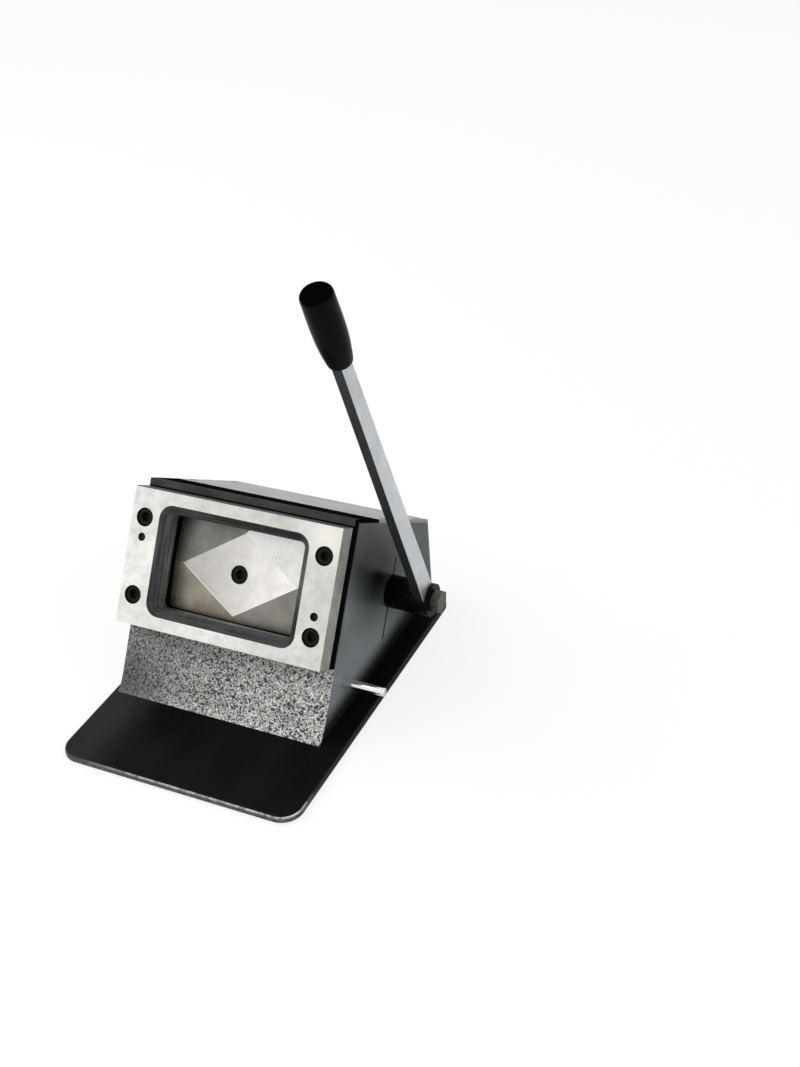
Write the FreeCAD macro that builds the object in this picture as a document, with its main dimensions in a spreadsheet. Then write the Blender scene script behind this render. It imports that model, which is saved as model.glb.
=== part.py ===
"""Bench cutter for plastic cards: a die plate leans back on a steel body, a hand lever turns an
eccentric that pushes a card-sized punch forward through the die, and the card slides down the chute.

World frame: X to the lever side, Y to the rear, Z up, origin in the middle of the base's underside.
Press frame: x along the die plate, y up its face, z straight out of it, origin at its lower front edge."""
import FreeCAD, Part
import math
import os

import Sketcher

Vector = FreeCAD.Vector
X_AXIS = Vector(1, 0, 0)
Y_AXIS = Vector(0, 1, 0)

# Driving dimensions, in millimetres and degrees.
SIZES = {
    # card and running fits
    "card_width": 85.6,
    "card_height": 54.0,
    "card_corner": 3.18,
    "die_clearance": 0.03,
    "guide_clearance": 0.05,
    "slide_clearance": 0.05,
    "shaft_clearance": 0.03,
    "side_gap": 0.3,
    # base plate and rubber mat
    "base_side_margin": 8.5,
    "base_rear_margin": 0.4,
    "base_thickness": 4.0,
    "base_corner": 12.0,
    "base_edge": 2.0,
    "mat_thickness": 1.0,
    "mat_inset": 3.0,
    # where the press stands on the base
    "lean": 32.0,
    "body_offset": 5.0,
    "die_setback": 66.6,
    "die_rise": 44.9,
    # body
    "body_side_margin": 0.5,
    "body_rise": 2.6,
    "body_depth": 144.0,
    "wall_thickness": 6.0,
    "block_thickness": 20.0,
    "cover_thickness": 2.0,
    "strip_length": 26.0,
    "slit_low": 13.0,
    "slit_high": 61.0,
    "slit_width": 0.9,
    "tie_section": 15.0,
    "front_tie_setback": 30.0,
    "rear_tie_inset": 22.0,
    "flare_start": 31.5,
    "flare_radius": 36.0,
    "chute_thickness": 1.2,
    "screw_inset": 3.2,
    "cover_screw_inset": 12.0,
    "strip_screw_inset": 21.5,
    # die plate, slot and guide plate
    "die_side_margin": 23.2,
    "die_end_margin": 12.5,
    "die_thickness": 12.0,
    "window_chamfer": 5.0,
    "slot_gap": 1.6,
    "slot_side_margin": 6.2,
    "spacer_inset": 1.0,
    "spacer_drop": 3.0,
    "stop_height": 7.0,
    "guide_thickness": 4.8,
    "die_screw_inset": 8.7,
    "die_screw_end_inset": 17.1,
    "dowel_lift": 11.0,
    "dowel_radius": 2.4,
    "dowel_recess": 2.0,
    # punch and ram
    "punch_recess": 2.0,
    "punch_thickness": 24.0,
    "diamond_half_width": 36.8,
    "diamond_half_height": 23.6,
    "facet_drop": 2.0,
    "shallow_facet_drop": 0.6,
    "punch_screw_seat": 6.6,
    "punch_dowel_inset": 10.0,
    "pad_screw_inset": 5.0,
    "ram_gap": 0.6,
    "ram_side_margin": 7.5,
    "ram_end_margin": 9.0,
    "neck_side_inset": 7.8,
    "neck_end_inset": 7.0,
    "pad_width": 40.0,
    "pad_height": 34.0,
    "pad_thickness": 4.0,
    "pad_sink": 1.0,
    "rod_radius": 4.0,
    "rod_side_margin": 8.7,
    "rod_pitch": 32.0,
    "rod_seat": 16.0,
    "rod_tail": 3.0,
    "bush_wall": 2.0,
    "spring_pocket_radius": 6.5,
    "spring_pocket": 4.0,
    "spring_coil_radius": 5.2,
    "spring_wire_radius": 0.6,
    "spring_turns": 6.0,
    "spring_gap": 0.2,
    "ram_pocket": 5.0,
    # shaft, eccentric and lever
    "shaft_depth": 78.4,
    "shaft_lift": 1.6,
    "shaft_radius": 7.0,
    "eccentric_radius": 19.0,
    "eccentric_offset": 8.45,
    "eccentric_width": 30.0,
    "eccentric_gap": 0.5,
    "key_width": 5.0,
    "key_height": 5.0,
    "key_seat": 2.7,
    "bush_radius": 9.0,
    "flange_radius": 11.5,
    "flange_thickness": 2.0,
    "collar_radius": 12.5,
    "collar_length": 8.0,
    "grub_length": 5.0,
    "lever_lean": 21.3,
    "lever_swing": 76.5,
    "hub_radius": 9.8,
    "hub_length": 27.2,
    "hub_cap": 2.0,
    "bar_thickness": 6.0,
    "bar_width": 13.5,
    "bar_top_width": 9.5,
    "bar_tail": 7.0,
    "bar_length": 229.0,
    "grip_cover": 24.5,
    "grip_length": 45.0,
    "grip_radius": 8.5,
    "grip_top_radius": 8.2,
    "grip_end_radius": 6.4,
    "grip_swell": 15.0,
    "grip_edge": 1.0,
    "stop_pin_radius": 2.5,
    "stop_pin_drop": 8.7,
    "stop_pin_depth": 32.5,
    "stop_pin_reach": 25.8,
    "stop_pin_chamfer": 0.5,
    # fasteners
    "m3_shank_radius": 1.5,
    "m3_head_radius": 2.8,
    "m3_head_height": 1.6,
    "m3_key": 2.0,
    "m4_shank_radius": 2.0,
    "m4_head_radius": 3.7,
    "m4_head_height": 2.0,
    "m4_key": 2.5,
    "m5_shank_radius": 2.5,
    "m5_key": 2.5,
    "m6_shank_radius": 3.0,
    "m6_head_radius": 5.0,
    "m6_head_height": 6.0,
    "m6_key": 5.0,
    "m8_shank_radius": 4.0,
    "m8_head_height": 5.3,
    "m8_across_flats": 13.0,
    "head_room": 0.4,
    "head_sink": 0.8,
    "die_screw_reach": 8.4,
    "punch_screw_length": 28.0,
    "cover_screw_length": 8.0,
    "strip_screw_length": 12.0,
    "pad_screw_length": 10.0,
    "base_screw_length": 14.0,
    "hub_bolt_length": 26.0,
    "dowel_seat": 7.0,
    "punch_dowel_radius": 2.5,
    "punch_dowel_seat": 8.0,
}


class Size:
    """A dimension that knows both its number and the spreadsheet expression that gives it."""

    def __init__(self, value, text):
        self.value = value
        self.text = text

    def __add__(self, other):
        other = size(other)
        return Size(self.value + other.value, "(%s + %s)" % (self.text, other.text))

    def __sub__(self, other):
        other = size(other)
        return Size(self.value - other.value, "(%s - %s)" % (self.text, other.text))

    def __mul__(self, other):
        other = size(other)
        return Size(self.value * other.value, "(%s * %s)" % (self.text, other.text))

    def __truediv__(self, other):
        other = size(other)
        return Size(self.value / other.value, "(%s / %s)" % (self.text, other.text))

    def __neg__(self):
        return Size(-self.value, "(0 - %s)" % self.text)

    def __radd__(self, other):
        return size(other) + self

    def __rsub__(self, other):
        return size(other) - self

    def __rmul__(self, other):
        return size(other) * self

    def __rtruediv__(self, other):
        return size(other) / self


def size(number):
    """A plain number as a Size; a Size passes through."""
    if isinstance(number, Size):
        return number
    return Size(float(number), repr(float(number)))


def sine(angle):
    return Size(math.sin(math.radians(angle.value)), "sin(%s)" % angle.text)


def cosine(angle):
    return Size(math.cos(math.radians(angle.value)), "cos(%s)" % angle.text)


def arctangent(ratio):
    """The angle in degrees; the sheet's atan carries a unit, which dividing by 1 deg takes off."""
    return Size(math.degrees(math.atan(ratio.value)), "(atan(%s) / 1 deg)" % ratio.text)


def root(number):
    return Size(math.sqrt(number.value), "sqrt(%s)" % number.text)


doc = FreeCAD.newDocument("CardCutter")
sheet = doc.addObject("Spreadsheet::Sheet", "Sizes")
S = {}
for row, (alias, number) in enumerate(SIZES.items(), start=1):
    cell = "B%d" % row
    sheet.set("A%d" % row, alias)
    sheet.set(cell, str(number))
    sheet.setAlias(cell, alias)
    S[alias] = Size(number, "Sizes." + alias)
doc.recompute()

SUBPARTS = []


# ---------------------------------------------------------------- document helpers
def bind(obj, path, value):
    """Bind one property of an object to a size."""
    obj.setExpression(path, value.text)


def keep(obj, label):
    """Register an object as a finished sub-part under its own name."""
    obj.Label = label
    SUBPARTS.append(obj)
    return obj


def new_body(label):
    body = doc.addObject("PartDesign::Body", label)
    return keep(body, label)


def new_sketch(body, plane, offset=None):
    """A sketch on one of the body's own origin planes, moved along that plane's normal."""
    sketch = body.newObject("Sketcher::SketchObject", body.Name + "_sketch")
    support = [item for item in body.Origin.OriginFeatures if item.Role == plane]
    sketch.AttachmentSupport = [(support[0], "")]
    sketch.MapMode = "FlatFace"
    if offset is not None:
        bind(sketch, ".AttachmentOffset.Base.z", offset)
    return sketch


def pin_point(sketch, geometry, point, x, y):
    """Fix one point of the geometry at x, y from the sketch's origin."""
    for kind, value in (("DistanceX", x), ("DistanceY", y)):
        index = sketch.addConstraint(
            Sketcher.Constraint(kind, -1, 1, geometry, point, value.value))
        sketch.setExpression("Constraints[%d]" % index, value.text)


def draw_circle(sketch, x, y, radius):
    x, y = size(x), size(y)
    circle = Part.Circle(Vector(x.value, y.value, 0), Vector(0, 0, 1), radius.value)
    index = sketch.addGeometry(circle, False)
    pin_point(sketch, index, 3, x, y)
    constraint = sketch.addConstraint(Sketcher.Constraint("Radius", index, radius.value))
    sketch.setExpression("Constraints[%d]" % constraint, radius.text)


def arc_between(start, end, radius, side):
    """The minor arc from start to end; side is 1 if its centre lies left of the chord, else -1.
    Gives the arc and the numbers of its start and end points, which always run anticlockwise."""
    middle = (start + end) * 0.5
    chord = end - start
    left = Vector(-chord.y, chord.x, 0).normalize()
    reach = math.sqrt(max(radius ** 2 - (chord.Length / 2) ** 2, 0.0))
    centre = middle + left * (reach * side)
    angles = [math.atan2(point.y - centre.y, point.x - centre.x) for point in (start, end)]
    circle = Part.Circle(centre, Vector(0, 0, 1), radius)
    if side > 0:
        return Part.ArcOfCircle(circle, angles[0], angles[1]), 1, 2
    return Part.ArcOfCircle(circle, angles[1], angles[0]), 2, 1


def draw_outline(sketch, corners, arcs=None):
    """A closed outline through the corners; arcs maps a corner's number to the radius and side
    of the arc that leaves it, and every other stretch is straight."""
    arcs = arcs or {}
    corners = [(size(x), size(y)) for x, y in corners]
    pieces = []
    for number, (x, y) in enumerate(corners):
        next_x, next_y = corners[(number + 1) % len(corners)]
        start = Vector(x.value, y.value, 0)
        end = Vector(next_x.value, next_y.value, 0)
        if number in arcs:
            radius, side = arcs[number]
            curve, first, last = arc_between(start, end, radius.value, side)
            index = sketch.addGeometry(curve, False)
            constraint = sketch.addConstraint(Sketcher.Constraint("Radius", index, radius.value))
            sketch.setExpression("Constraints[%d]" % constraint, radius.text)
        else:
            index, first, last = sketch.addGeometry(Part.LineSegment(start, end), False), 1, 2
        pieces.append((index, first, last))
    for number, (index, first, last) in enumerate(pieces):
        next_index, next_first, _ = pieces[(number + 1) % len(pieces)]
        sketch.addConstraint(Sketcher.Constraint("Coincident", index, last, next_index, next_first))
        pin_point(sketch, index, first, *corners[number])


def draw_rectangle(sketch, x, y, width, height, corner=None):
    """A rectangle centred on x, y, with rounded corners if a corner radius is given."""
    x, y = size(x), size(y)
    left, right = x - width / 2, x + width / 2
    low, high = y - height / 2, y + height / 2
    if corner is None:
        draw_outline(sketch, [(left, low), (right, low), (right, high), (left, high)])
        return
    draw_outline(sketch, [
        (left + corner, low), (right - corner, low), (right, low + corner), (right, high - corner),
        (right - corner, high), (left + corner, high), (left, high - corner), (left, low + corner),
    ], {1: (corner, 1), 3: (corner, 1), 5: (corner, 1), 7: (corner, 1)})


def pad(body, sketch, length, both=False):
    feature = body.newObject("PartDesign::Pad", body.Name + "_pad")
    feature.Profile = sketch
    if both:
        feature.Midplane = True
    bind(feature, "Length", length)
    return feature


def pocket(body, sketch, depth=None, forward=False, both=False):
    """Cut the sketch backwards along its normal, or forward; with no depth, right through."""
    feature = body.newObject("PartDesign::Pocket", body.Name + "_pocket")
    feature.Profile = sketch
    feature.Reversed = forward
    if both:
        feature.Midplane = True
    if depth is None:
        feature.Type = "ThroughAll"
    else:
        bind(feature, "Length", depth)
    return feature


def drill(body, plane, offset, centres, radius, depth=None, forward=False):
    """Round holes of one radius and depth, at several centres on one plane."""
    sketch = new_sketch(body, plane, offset)
    for x, y in centres:
        draw_circle(sketch, x, y, radius)
    return pocket(body, sketch, depth, forward)


def round_edges(body, feature, radius, wanted):
    """Fillet the feature's edges whose middle point passes the test."""
    doc.recompute()
    names = []
    for number, edge in enumerate(feature.Shape.Edges, start=1):
        middle = edge.valueAt((edge.FirstParameter + edge.LastParameter) / 2)
        if wanted(middle):
            names.append("Edge%d" % number)
    fillet = body.newObject("PartDesign::Fillet", body.Name + "_fillet")
    fillet.Base = (feature, names)
    bind(fillet, "Radius", radius)
    return fillet


def place(obj, x=0.0, y=0.0, z=0.0, axis=X_AXIS, angle=None):
    """Place an object at x, y, z, turned about the axis by an angle in degrees."""
    x, y, z = size(x), size(y), size(z)
    turn = 0.0 if angle is None else angle.value
    obj.Placement = FreeCAD.Placement(Vector(x.value, y.value, z.value),
                                      FreeCAD.Rotation(axis, turn))
    for path, value in (("x", x), ("y", y), ("z", z)):
        bind(obj, ".Placement.Base." + path, value)
    if angle is not None:
        bind(obj, ".Placement.Rotation.Angle", angle)
    return obj


def on_press(obj):
    """Place a sub-part made in the press frame."""
    return place(obj, PRESS_X, PRESS_Y, PRESS_Z, X_AXIS, size(90) - S["lean"])


def on_body(obj):
    """Place a sub-part made in level axes with its origin at the die plate's lower front edge."""
    return place(obj, PRESS_X, PRESS_Y, PRESS_Z)


def on_lever(obj):
    """Place a sub-part of the lever, whose z runs up the lever from the shaft's axis."""
    return place(obj, PRESS_X, PRESS_Y + SHAFT_Y, PRESS_Z + SHAFT_Z, X_AXIS, S["lever_lean"])


def cylinder(radius, length, x=0.0, y=0.0, z=0.0, axis=X_AXIS, angle=None):
    obj = doc.addObject("Part::Cylinder", "Cylinder")
    bind(obj, "Radius", size(radius))
    bind(obj, "Height", size(length))
    return place(obj, x, y, z, axis, angle)


def bar_along_x(radius, length, x=0.0, y=0.0, z=0.0):
    """A cylinder that runs along +X from the point x, y, z."""
    return cylinder(radius, length, x, y, z, Y_AXIS, size(90))


def box(length, width, height, x=0.0, y=0.0, z=0.0):
    obj = doc.addObject("Part::Box", "Box")
    bind(obj, "Length", size(length))
    bind(obj, "Width", size(width))
    bind(obj, "Height", size(height))
    return place(obj, x, y, z)


def prism(across_flats, length, x=0.0, y=0.0, z=0.0, axis=X_AXIS, angle=None):
    """A hexagonal bar, given its width across flats."""
    obj = doc.addObject("Part::Prism", "Prism")
    obj.Polygon = 6
    bind(obj, "Circumradius", size(across_flats) / (size(2) * cosine(size(30))))
    bind(obj, "Height", size(length))
    return place(obj, x, y, z, axis, angle)


def fuse(*shapes):
    obj = doc.addObject("Part::MultiFuse", "Fuse")
    obj.Shapes = list(shapes)
    return obj


def cut(base, *tools):
    for tool in tools:
        obj = doc.addObject("Part::Cut", "Cut")
        obj.Base = base
        obj.Tool = tool
        base = obj
    return base


def group(shapes, label):
    """Separate solids that share one sub-part."""
    obj = doc.addObject("Part::Compound", label)
    obj.Links = list(shapes)
    return keep(obj, label)


# ---------------------------------------------------------------- shared positions
DIE_WIDTH = S["card_width"] + 2 * S["die_side_margin"]
DIE_HEIGHT = S["card_height"] + 2 * S["die_end_margin"]
BODY_WIDTH = DIE_WIDTH + 2 * S["body_side_margin"]
BODY_HEIGHT = DIE_HEIGHT + S["body_rise"]
COVER_HEIGHT = BODY_HEIGHT + S["cover_thickness"]
BASE_WIDTH = BODY_WIDTH + 2 * S["base_side_margin"]
BASE_LENGTH = S["die_setback"] + S["body_depth"] + S["base_rear_margin"]
PRESS_X = -S["body_offset"]
PRESS_Y = S["die_setback"] - BASE_LENGTH / 2
BASE_TOP = S["mat_thickness"] + S["base_thickness"]
PRESS_Z = BASE_TOP + S["die_rise"]
LEAN_SINE = sine(S["lean"])
LEAN_COSINE = cosine(S["lean"])
HALF_BODY = BODY_WIDTH / 2
INNER_WIDTH = BODY_WIDTH - 2 * S["wall_thickness"]

# Depths behind the die plate's front face, and heights up it.
GUIDE_FRONT = S["die_thickness"] + S["slot_gap"]
BLOCK_FRONT = GUIDE_FRONT + S["guide_thickness"]
BLOCK_BACK = BLOCK_FRONT + S["block_thickness"]
PUNCH_FRONT = GUIDE_FRONT + S["punch_recess"]
PUNCH_BACK = PUNCH_FRONT + S["punch_thickness"]
HALF_SWING = S["lever_swing"] / 2
STROKE = 2 * S["eccentric_offset"] * sine(HALF_SWING)
RAM_FRONT = BLOCK_BACK + STROKE + S["ram_gap"]
MIDDLE = DIE_HEIGHT / 2
SHAFT_DEPTH = S["shaft_depth"]

# The shaft's axis in level axes from the die plate's lower front edge.
SHAFT_RISE = MIDDLE + S["shaft_lift"]
SHAFT_Y = SHAFT_RISE * LEAN_SINE + SHAFT_DEPTH * LEAN_COSINE
SHAFT_Z = SHAFT_RISE * LEAN_COSINE - SHAFT_DEPTH * LEAN_SINE

# The eccentric works half its swing each side of the place where it lifts fastest.
PAD_BACK = SHAFT_DEPTH + STROKE / 2 - S["eccentric_radius"] - S["eccentric_gap"]
RAM_BACK = PAD_BACK - S["pad_thickness"] + S["pad_sink"]

SCREW_X = DIE_WIDTH / 2 - S["die_screw_inset"]
DIE_SCREWS = [(SCREW_X * side, MIDDLE + (MIDDLE - S["die_screw_end_inset"]) * rise)
              for side in (-1, 1) for rise in (-1, 1)]
DOWELS = [(SCREW_X * side, MIDDLE - S["dowel_lift"] * side) for side in (-1, 1)]
RODS = [((S["card_width"] / 2 + S["rod_side_margin"]) * side, MIDDLE + S["rod_pitch"] / 2 * rise)
        for side in (-1, 1) for rise in (-1, 1)]

# Metric fasteners: shank radius, head radius, head height and key across flats.
M3_FLAT = {"shank": S["m3_shank_radius"], "head": S["m3_head_radius"],
           "height": S["m3_head_height"], "key": S["m3_key"]}
M4_FLAT = {"shank": S["m4_shank_radius"], "head": S["m4_head_radius"],
           "height": S["m4_head_height"], "key": S["m4_key"]}
M6_CAP = {"shank": S["m6_shank_radius"], "head": S["m6_head_radius"],
          "height": S["m6_head_height"], "key": S["m6_key"]}
DIE_SCREW_SEAT = S["head_sink"] + M6_CAP["height"]
DIE_SCREW_LENGTH = BLOCK_FRONT - DIE_SCREW_SEAT + S["die_screw_reach"]


def level(rise, depth):
    """A point of the press frame's side view in level axes: y to the rear, z up."""
    return (rise * LEAN_SINE + depth * LEAN_COSINE, rise * LEAN_COSINE - depth * LEAN_SINE)


def on_base(depth):
    """Where a line at this depth, parallel to the die plate, meets the base's top."""
    rise = (depth * LEAN_SINE - S["die_rise"]) / LEAN_COSINE
    return level(rise, depth)


def on_top(y, rise):
    """Where the upright line at y crosses the line at this height up the die plate."""
    return (y, (rise - y * LEAN_SINE) / LEAN_COSINE)


def cap_screw(kind, x, y, z, length):
    """Socket head screw in the press frame: the head's underside at z, the shank into the work."""
    head = cylinder(kind["head"], kind["height"], x, y, z)
    shank = cylinder(kind["shank"], length, x, y, z - length)
    depth = kind["height"] / 2
    socket = prism(kind["key"], depth, x, y, z + kind["height"] - depth)
    return cut(fuse(head, shank), socket)


def flat_form(kind, length):
    """The outer form of a countersunk screw whose flat head lies at z = 0 and points to +z."""
    head = doc.addObject("Part::Cone", "Cone")
    bind(head, "Radius1", kind["shank"])
    bind(head, "Radius2", kind["head"])
    bind(head, "Height", kind["height"])
    place(head, 0, 0, -kind["height"])
    return fuse(head, cylinder(kind["shank"], length - kind["height"] / 2, 0, 0, -length))


def flat_screw(kind, length, x, y, z, axis=X_AXIS, angle=None):
    depth = kind["height"] / 2
    socket = prism(kind["key"], depth, 0, 0, -depth)
    return place(cut(flat_form(kind, length), socket), x, y, z, axis, angle)


def flat_hole(kind, length, x, y, z, axis=X_AXIS, angle=None):
    """The countersunk hole that flat_screw fills."""
    return place(flat_form(kind, length), x, y, z, axis, angle)


def side_body(label, outline, width, arcs=None, x=None):
    """A Body with its side view drawn in level axes, padded along x: centred, or from x on."""
    body = doc.addObject("PartDesign::Body", label)
    sketch = new_sketch(body, "YZ_Plane", x)
    draw_outline(sketch, outline, arcs)
    pad(body, sketch, width, both=x is None)
    return body


# ---------------------------------------------------------------- base
BASE_SCREW_Y = (on_base(BLOCK_FRONT)[0] + S["front_tie_setback"],
                S["body_depth"] - S["rear_tie_inset"])
BASE_SCREWS = [(INNER_WIDTH / 2 - S["tie_section"] / 2) * side for side in (-1, 1)]


def base_screw_points():
    """Centres of the base screws in the base plate's own axes."""
    return [(PRESS_X + x, PRESS_Y + y) for x in BASE_SCREWS for y in BASE_SCREW_Y]


def make_rubber_mat():
    body = new_body("rubber_mat")
    sketch = new_sketch(body, "XY_Plane")
    draw_rectangle(sketch, 0, 0, BASE_WIDTH - 2 * S["mat_inset"],
                   BASE_LENGTH - 2 * S["mat_inset"], S["base_corner"] - S["mat_inset"])
    pad(body, sketch, S["mat_thickness"])


def make_base_plate():
    body = doc.addObject("PartDesign::Body", "base_blank")
    sketch = new_sketch(body, "XY_Plane", S["mat_thickness"])
    draw_rectangle(sketch, 0, 0, BASE_WIDTH, BASE_LENGTH, S["base_corner"])
    slab = pad(body, sketch, S["base_thickness"])
    round_edges(body, slab, S["base_edge"], lambda middle: middle.z > BASE_TOP.value - 0.01)
    holes = [flat_hole(M4_FLAT, S["base_screw_length"], x, y, S["mat_thickness"], X_AXIS, size(180))
             for x, y in base_screw_points()]
    keep(cut(body, *holes), "base_plate")


def make_base_screws():
    group([flat_screw(M4_FLAT, S["base_screw_length"], x, y, S["mat_thickness"], X_AXIS, size(180))
           for x, y in base_screw_points()], "base_screws")


def make_tie(label, y):
    """A square bar across the body's inside, screwed down to the base plate."""
    section = S["tie_section"]
    length = INNER_WIDTH
    bar = box(length, section, section, PRESS_X - length / 2, PRESS_Y + y - section / 2, BASE_TOP)
    holes = [cylinder(M4_FLAT["shank"], S["base_screw_length"], PRESS_X + x, PRESS_Y + y,
                      S["mat_thickness"]) for x in BASE_SCREWS]
    keep(cut(bar, *holes), label)


# ---------------------------------------------------------------- body
WALL_BACK = S["body_depth"] - S["cover_thickness"]
STRIP_BACK = BLOCK_FRONT + S["strip_length"]
CHUTE_RADIUS = S["flare_radius"] + S["chute_thickness"]
COVER_SCREW_X = [side * (HALF_BODY - S["screw_inset"]) for side in (-1, 1)]


def flare_end(radius):
    """Where the flare's arc of this radius meets the base plate's top."""
    centre = level(-S["flare_start"], BLOCK_FRONT - CHUTE_RADIUS)
    drop = centre[1] + S["die_rise"]
    return (centre[0] + root(radius * radius - drop * drop), -S["die_rise"])


def top_tools(maker):
    """The top cover's screws, or their holes, in level axes."""
    back_y, back_z = on_top(S["body_depth"], COVER_HEIGHT)
    back = back_y * LEAN_COSINE - back_z * LEAN_SINE
    depths = (STRIP_BACK + S["cover_screw_inset"], back - S["cover_screw_inset"])
    return [maker(M3_FLAT, S["cover_screw_length"], x, *level(COVER_HEIGHT, depth), X_AXIS, -S["lean"])
            for x in COVER_SCREW_X for depth in depths]


def rear_tools(maker):
    """The rear cover's screws, or their holes, in level axes."""
    top = on_top(S["body_depth"], BODY_HEIGHT)[1]
    heights = (top - S["cover_screw_inset"], S["cover_screw_inset"] - S["die_rise"])
    return [maker(M3_FLAT, S["cover_screw_length"], x, S["body_depth"], height, X_AXIS, size(-90))
            for x in COVER_SCREW_X for height in heights]


def strip_screw_points():
    """The top strip's screws: x, and depth behind the die plate's front."""
    spacing = BODY_WIDTH - 2 * S["strip_screw_inset"]
    return [(spacing / 2 * side, BLOCK_FRONT + S["block_thickness"] / 2) for side in (-1, 1)]


def strip_tools(maker):
    """The top strip's screws, or their holes, in level axes."""
    return [maker(M4_FLAT, S["strip_screw_length"], x, *level(COVER_HEIGHT, depth), X_AXIS, -S["lean"])
            for x, depth in strip_screw_points()]


def make_wall(label, side):
    """A side wall with its shaft bore; the right one also has the slit and the stop pin's hole."""
    outline = [flare_end(CHUTE_RADIUS), level(-S["flare_start"], BLOCK_FRONT),
               level(BODY_HEIGHT, BLOCK_FRONT), on_top(WALL_BACK, BODY_HEIGHT),
               (WALL_BACK, -S["die_rise"])]
    inner = -HALF_BODY if side < 0 else HALF_BODY - S["wall_thickness"]
    body = side_body(label + "_blank", outline, S["wall_thickness"], {0: (CHUTE_RADIUS, 1)}, inner)
    drill(body, "YZ_Plane", inner, [(SHAFT_Y, SHAFT_Z)], S["bush_radius"], forward=True)
    if side > 0:
        drill(body, "YZ_Plane", inner, [level(-S["stop_pin_drop"], S["stop_pin_depth"])],
              S["stop_pin_radius"], forward=True)
        half = S["slit_width"] / 2
        sketch = new_sketch(body, "YZ_Plane", inner)
        draw_outline(sketch, [level(S["slit_low"], SHAFT_DEPTH - half),
                              level(S["slit_high"], SHAFT_DEPTH - half),
                              level(S["slit_high"], SHAFT_DEPTH + half),
                              level(S["slit_low"], SHAFT_DEPTH + half)])
        pocket(body, sketch, forward=True)
    holes = top_tools(flat_hole) + rear_tools(flat_hole)
    keep(on_body(cut(body, *holes)), label)


def make_top_strip():
    outline = [level(BODY_HEIGHT, BLOCK_FRONT), level(COVER_HEIGHT, BLOCK_FRONT),
               level(COVER_HEIGHT, STRIP_BACK), level(BODY_HEIGHT, STRIP_BACK)]
    body = side_body("top_strip_blank", outline, BODY_WIDTH)
    keep(on_body(cut(body, *strip_tools(flat_hole))), "top_strip")


def make_top_cover():
    outline = [level(BODY_HEIGHT, STRIP_BACK), level(COVER_HEIGHT, STRIP_BACK),
               on_top(S["body_depth"], COVER_HEIGHT), on_top(S["body_depth"], BODY_HEIGHT)]
    body = side_body("top_cover_blank", outline, BODY_WIDTH)
    keep(on_body(cut(body, *top_tools(flat_hole))), "top_cover")


def make_rear_cover():
    outline = [(WALL_BACK, -S["die_rise"]), on_top(WALL_BACK, BODY_HEIGHT),
               on_top(S["body_depth"], BODY_HEIGHT), (S["body_depth"], -S["die_rise"])]
    body = side_body("rear_cover_blank", outline, BODY_WIDTH)
    keep(on_body(cut(body, *rear_tools(flat_hole))), "rear_cover")


def make_cover_screws():
    on_body(group(top_tools(flat_screw) + rear_tools(flat_screw), "cover_screws"))
    on_body(group(strip_tools(flat_screw), "strip_screws"))


def make_chute():
    """The bent sheet on the walls' front edges that carries the cut cards down to the base."""
    front = BLOCK_FRONT - S["chute_thickness"]
    outline = [flare_end(S["flare_radius"]), level(-S["flare_start"], front),
               level(-S["side_gap"], front), level(-S["side_gap"], BLOCK_FRONT),
               level(-S["flare_start"], BLOCK_FRONT), flare_end(CHUTE_RADIUS)]
    arcs = {0: (S["flare_radius"], 1), 4: (CHUTE_RADIUS, -1)}
    keep(on_body(side_body("chute", outline, BODY_WIDTH, arcs)), "chute")


def make_guide_block():
    """The block between the walls that guides the punch and holds the rods and die screws."""
    body = new_body("guide_block")
    sketch = new_sketch(body, "XY_Plane", -BLOCK_BACK)
    draw_rectangle(sketch, 0, BODY_HEIGHT / 2, INNER_WIDTH, BODY_HEIGHT)
    pad(body, sketch, S["block_thickness"])
    cut_guide_bore(body, -BLOCK_FRONT)
    drill(body, "XY_Plane", -BLOCK_BACK, RODS, S["rod_radius"], S["rod_seat"], forward=True)
    drill(body, "XY_Plane", -BLOCK_BACK, RODS, S["spring_pocket_radius"], S["spring_pocket"],
          forward=True)
    drill(body, "XY_Plane", -BLOCK_FRONT, DIE_SCREWS, M6_CAP["shank"],
          S["die_screw_reach"])
    drill(body, "XY_Plane", -BLOCK_FRONT, DOWELS, S["dowel_radius"], S["dowel_seat"])
    drill(body, "XZ_Plane", -BODY_HEIGHT, [(x, -depth) for x, depth in strip_screw_points()],
          M4_FLAT["shank"], S["strip_screw_length"] - S["cover_thickness"], forward=True)
    on_press(body)


# ---------------------------------------------------------------- die
def cut_guide_bore(body, front):
    """The card-shaped bore that the punch slides in, cut back from the given front face."""
    spare = 2 * (S["guide_clearance"] - S["die_clearance"])
    sketch = new_sketch(body, "XY_Plane", front)
    draw_rectangle(sketch, 0, MIDDLE, S["card_width"] + spare, S["card_height"] + spare,
                   S["card_corner"])
    pocket(body, sketch)


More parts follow.
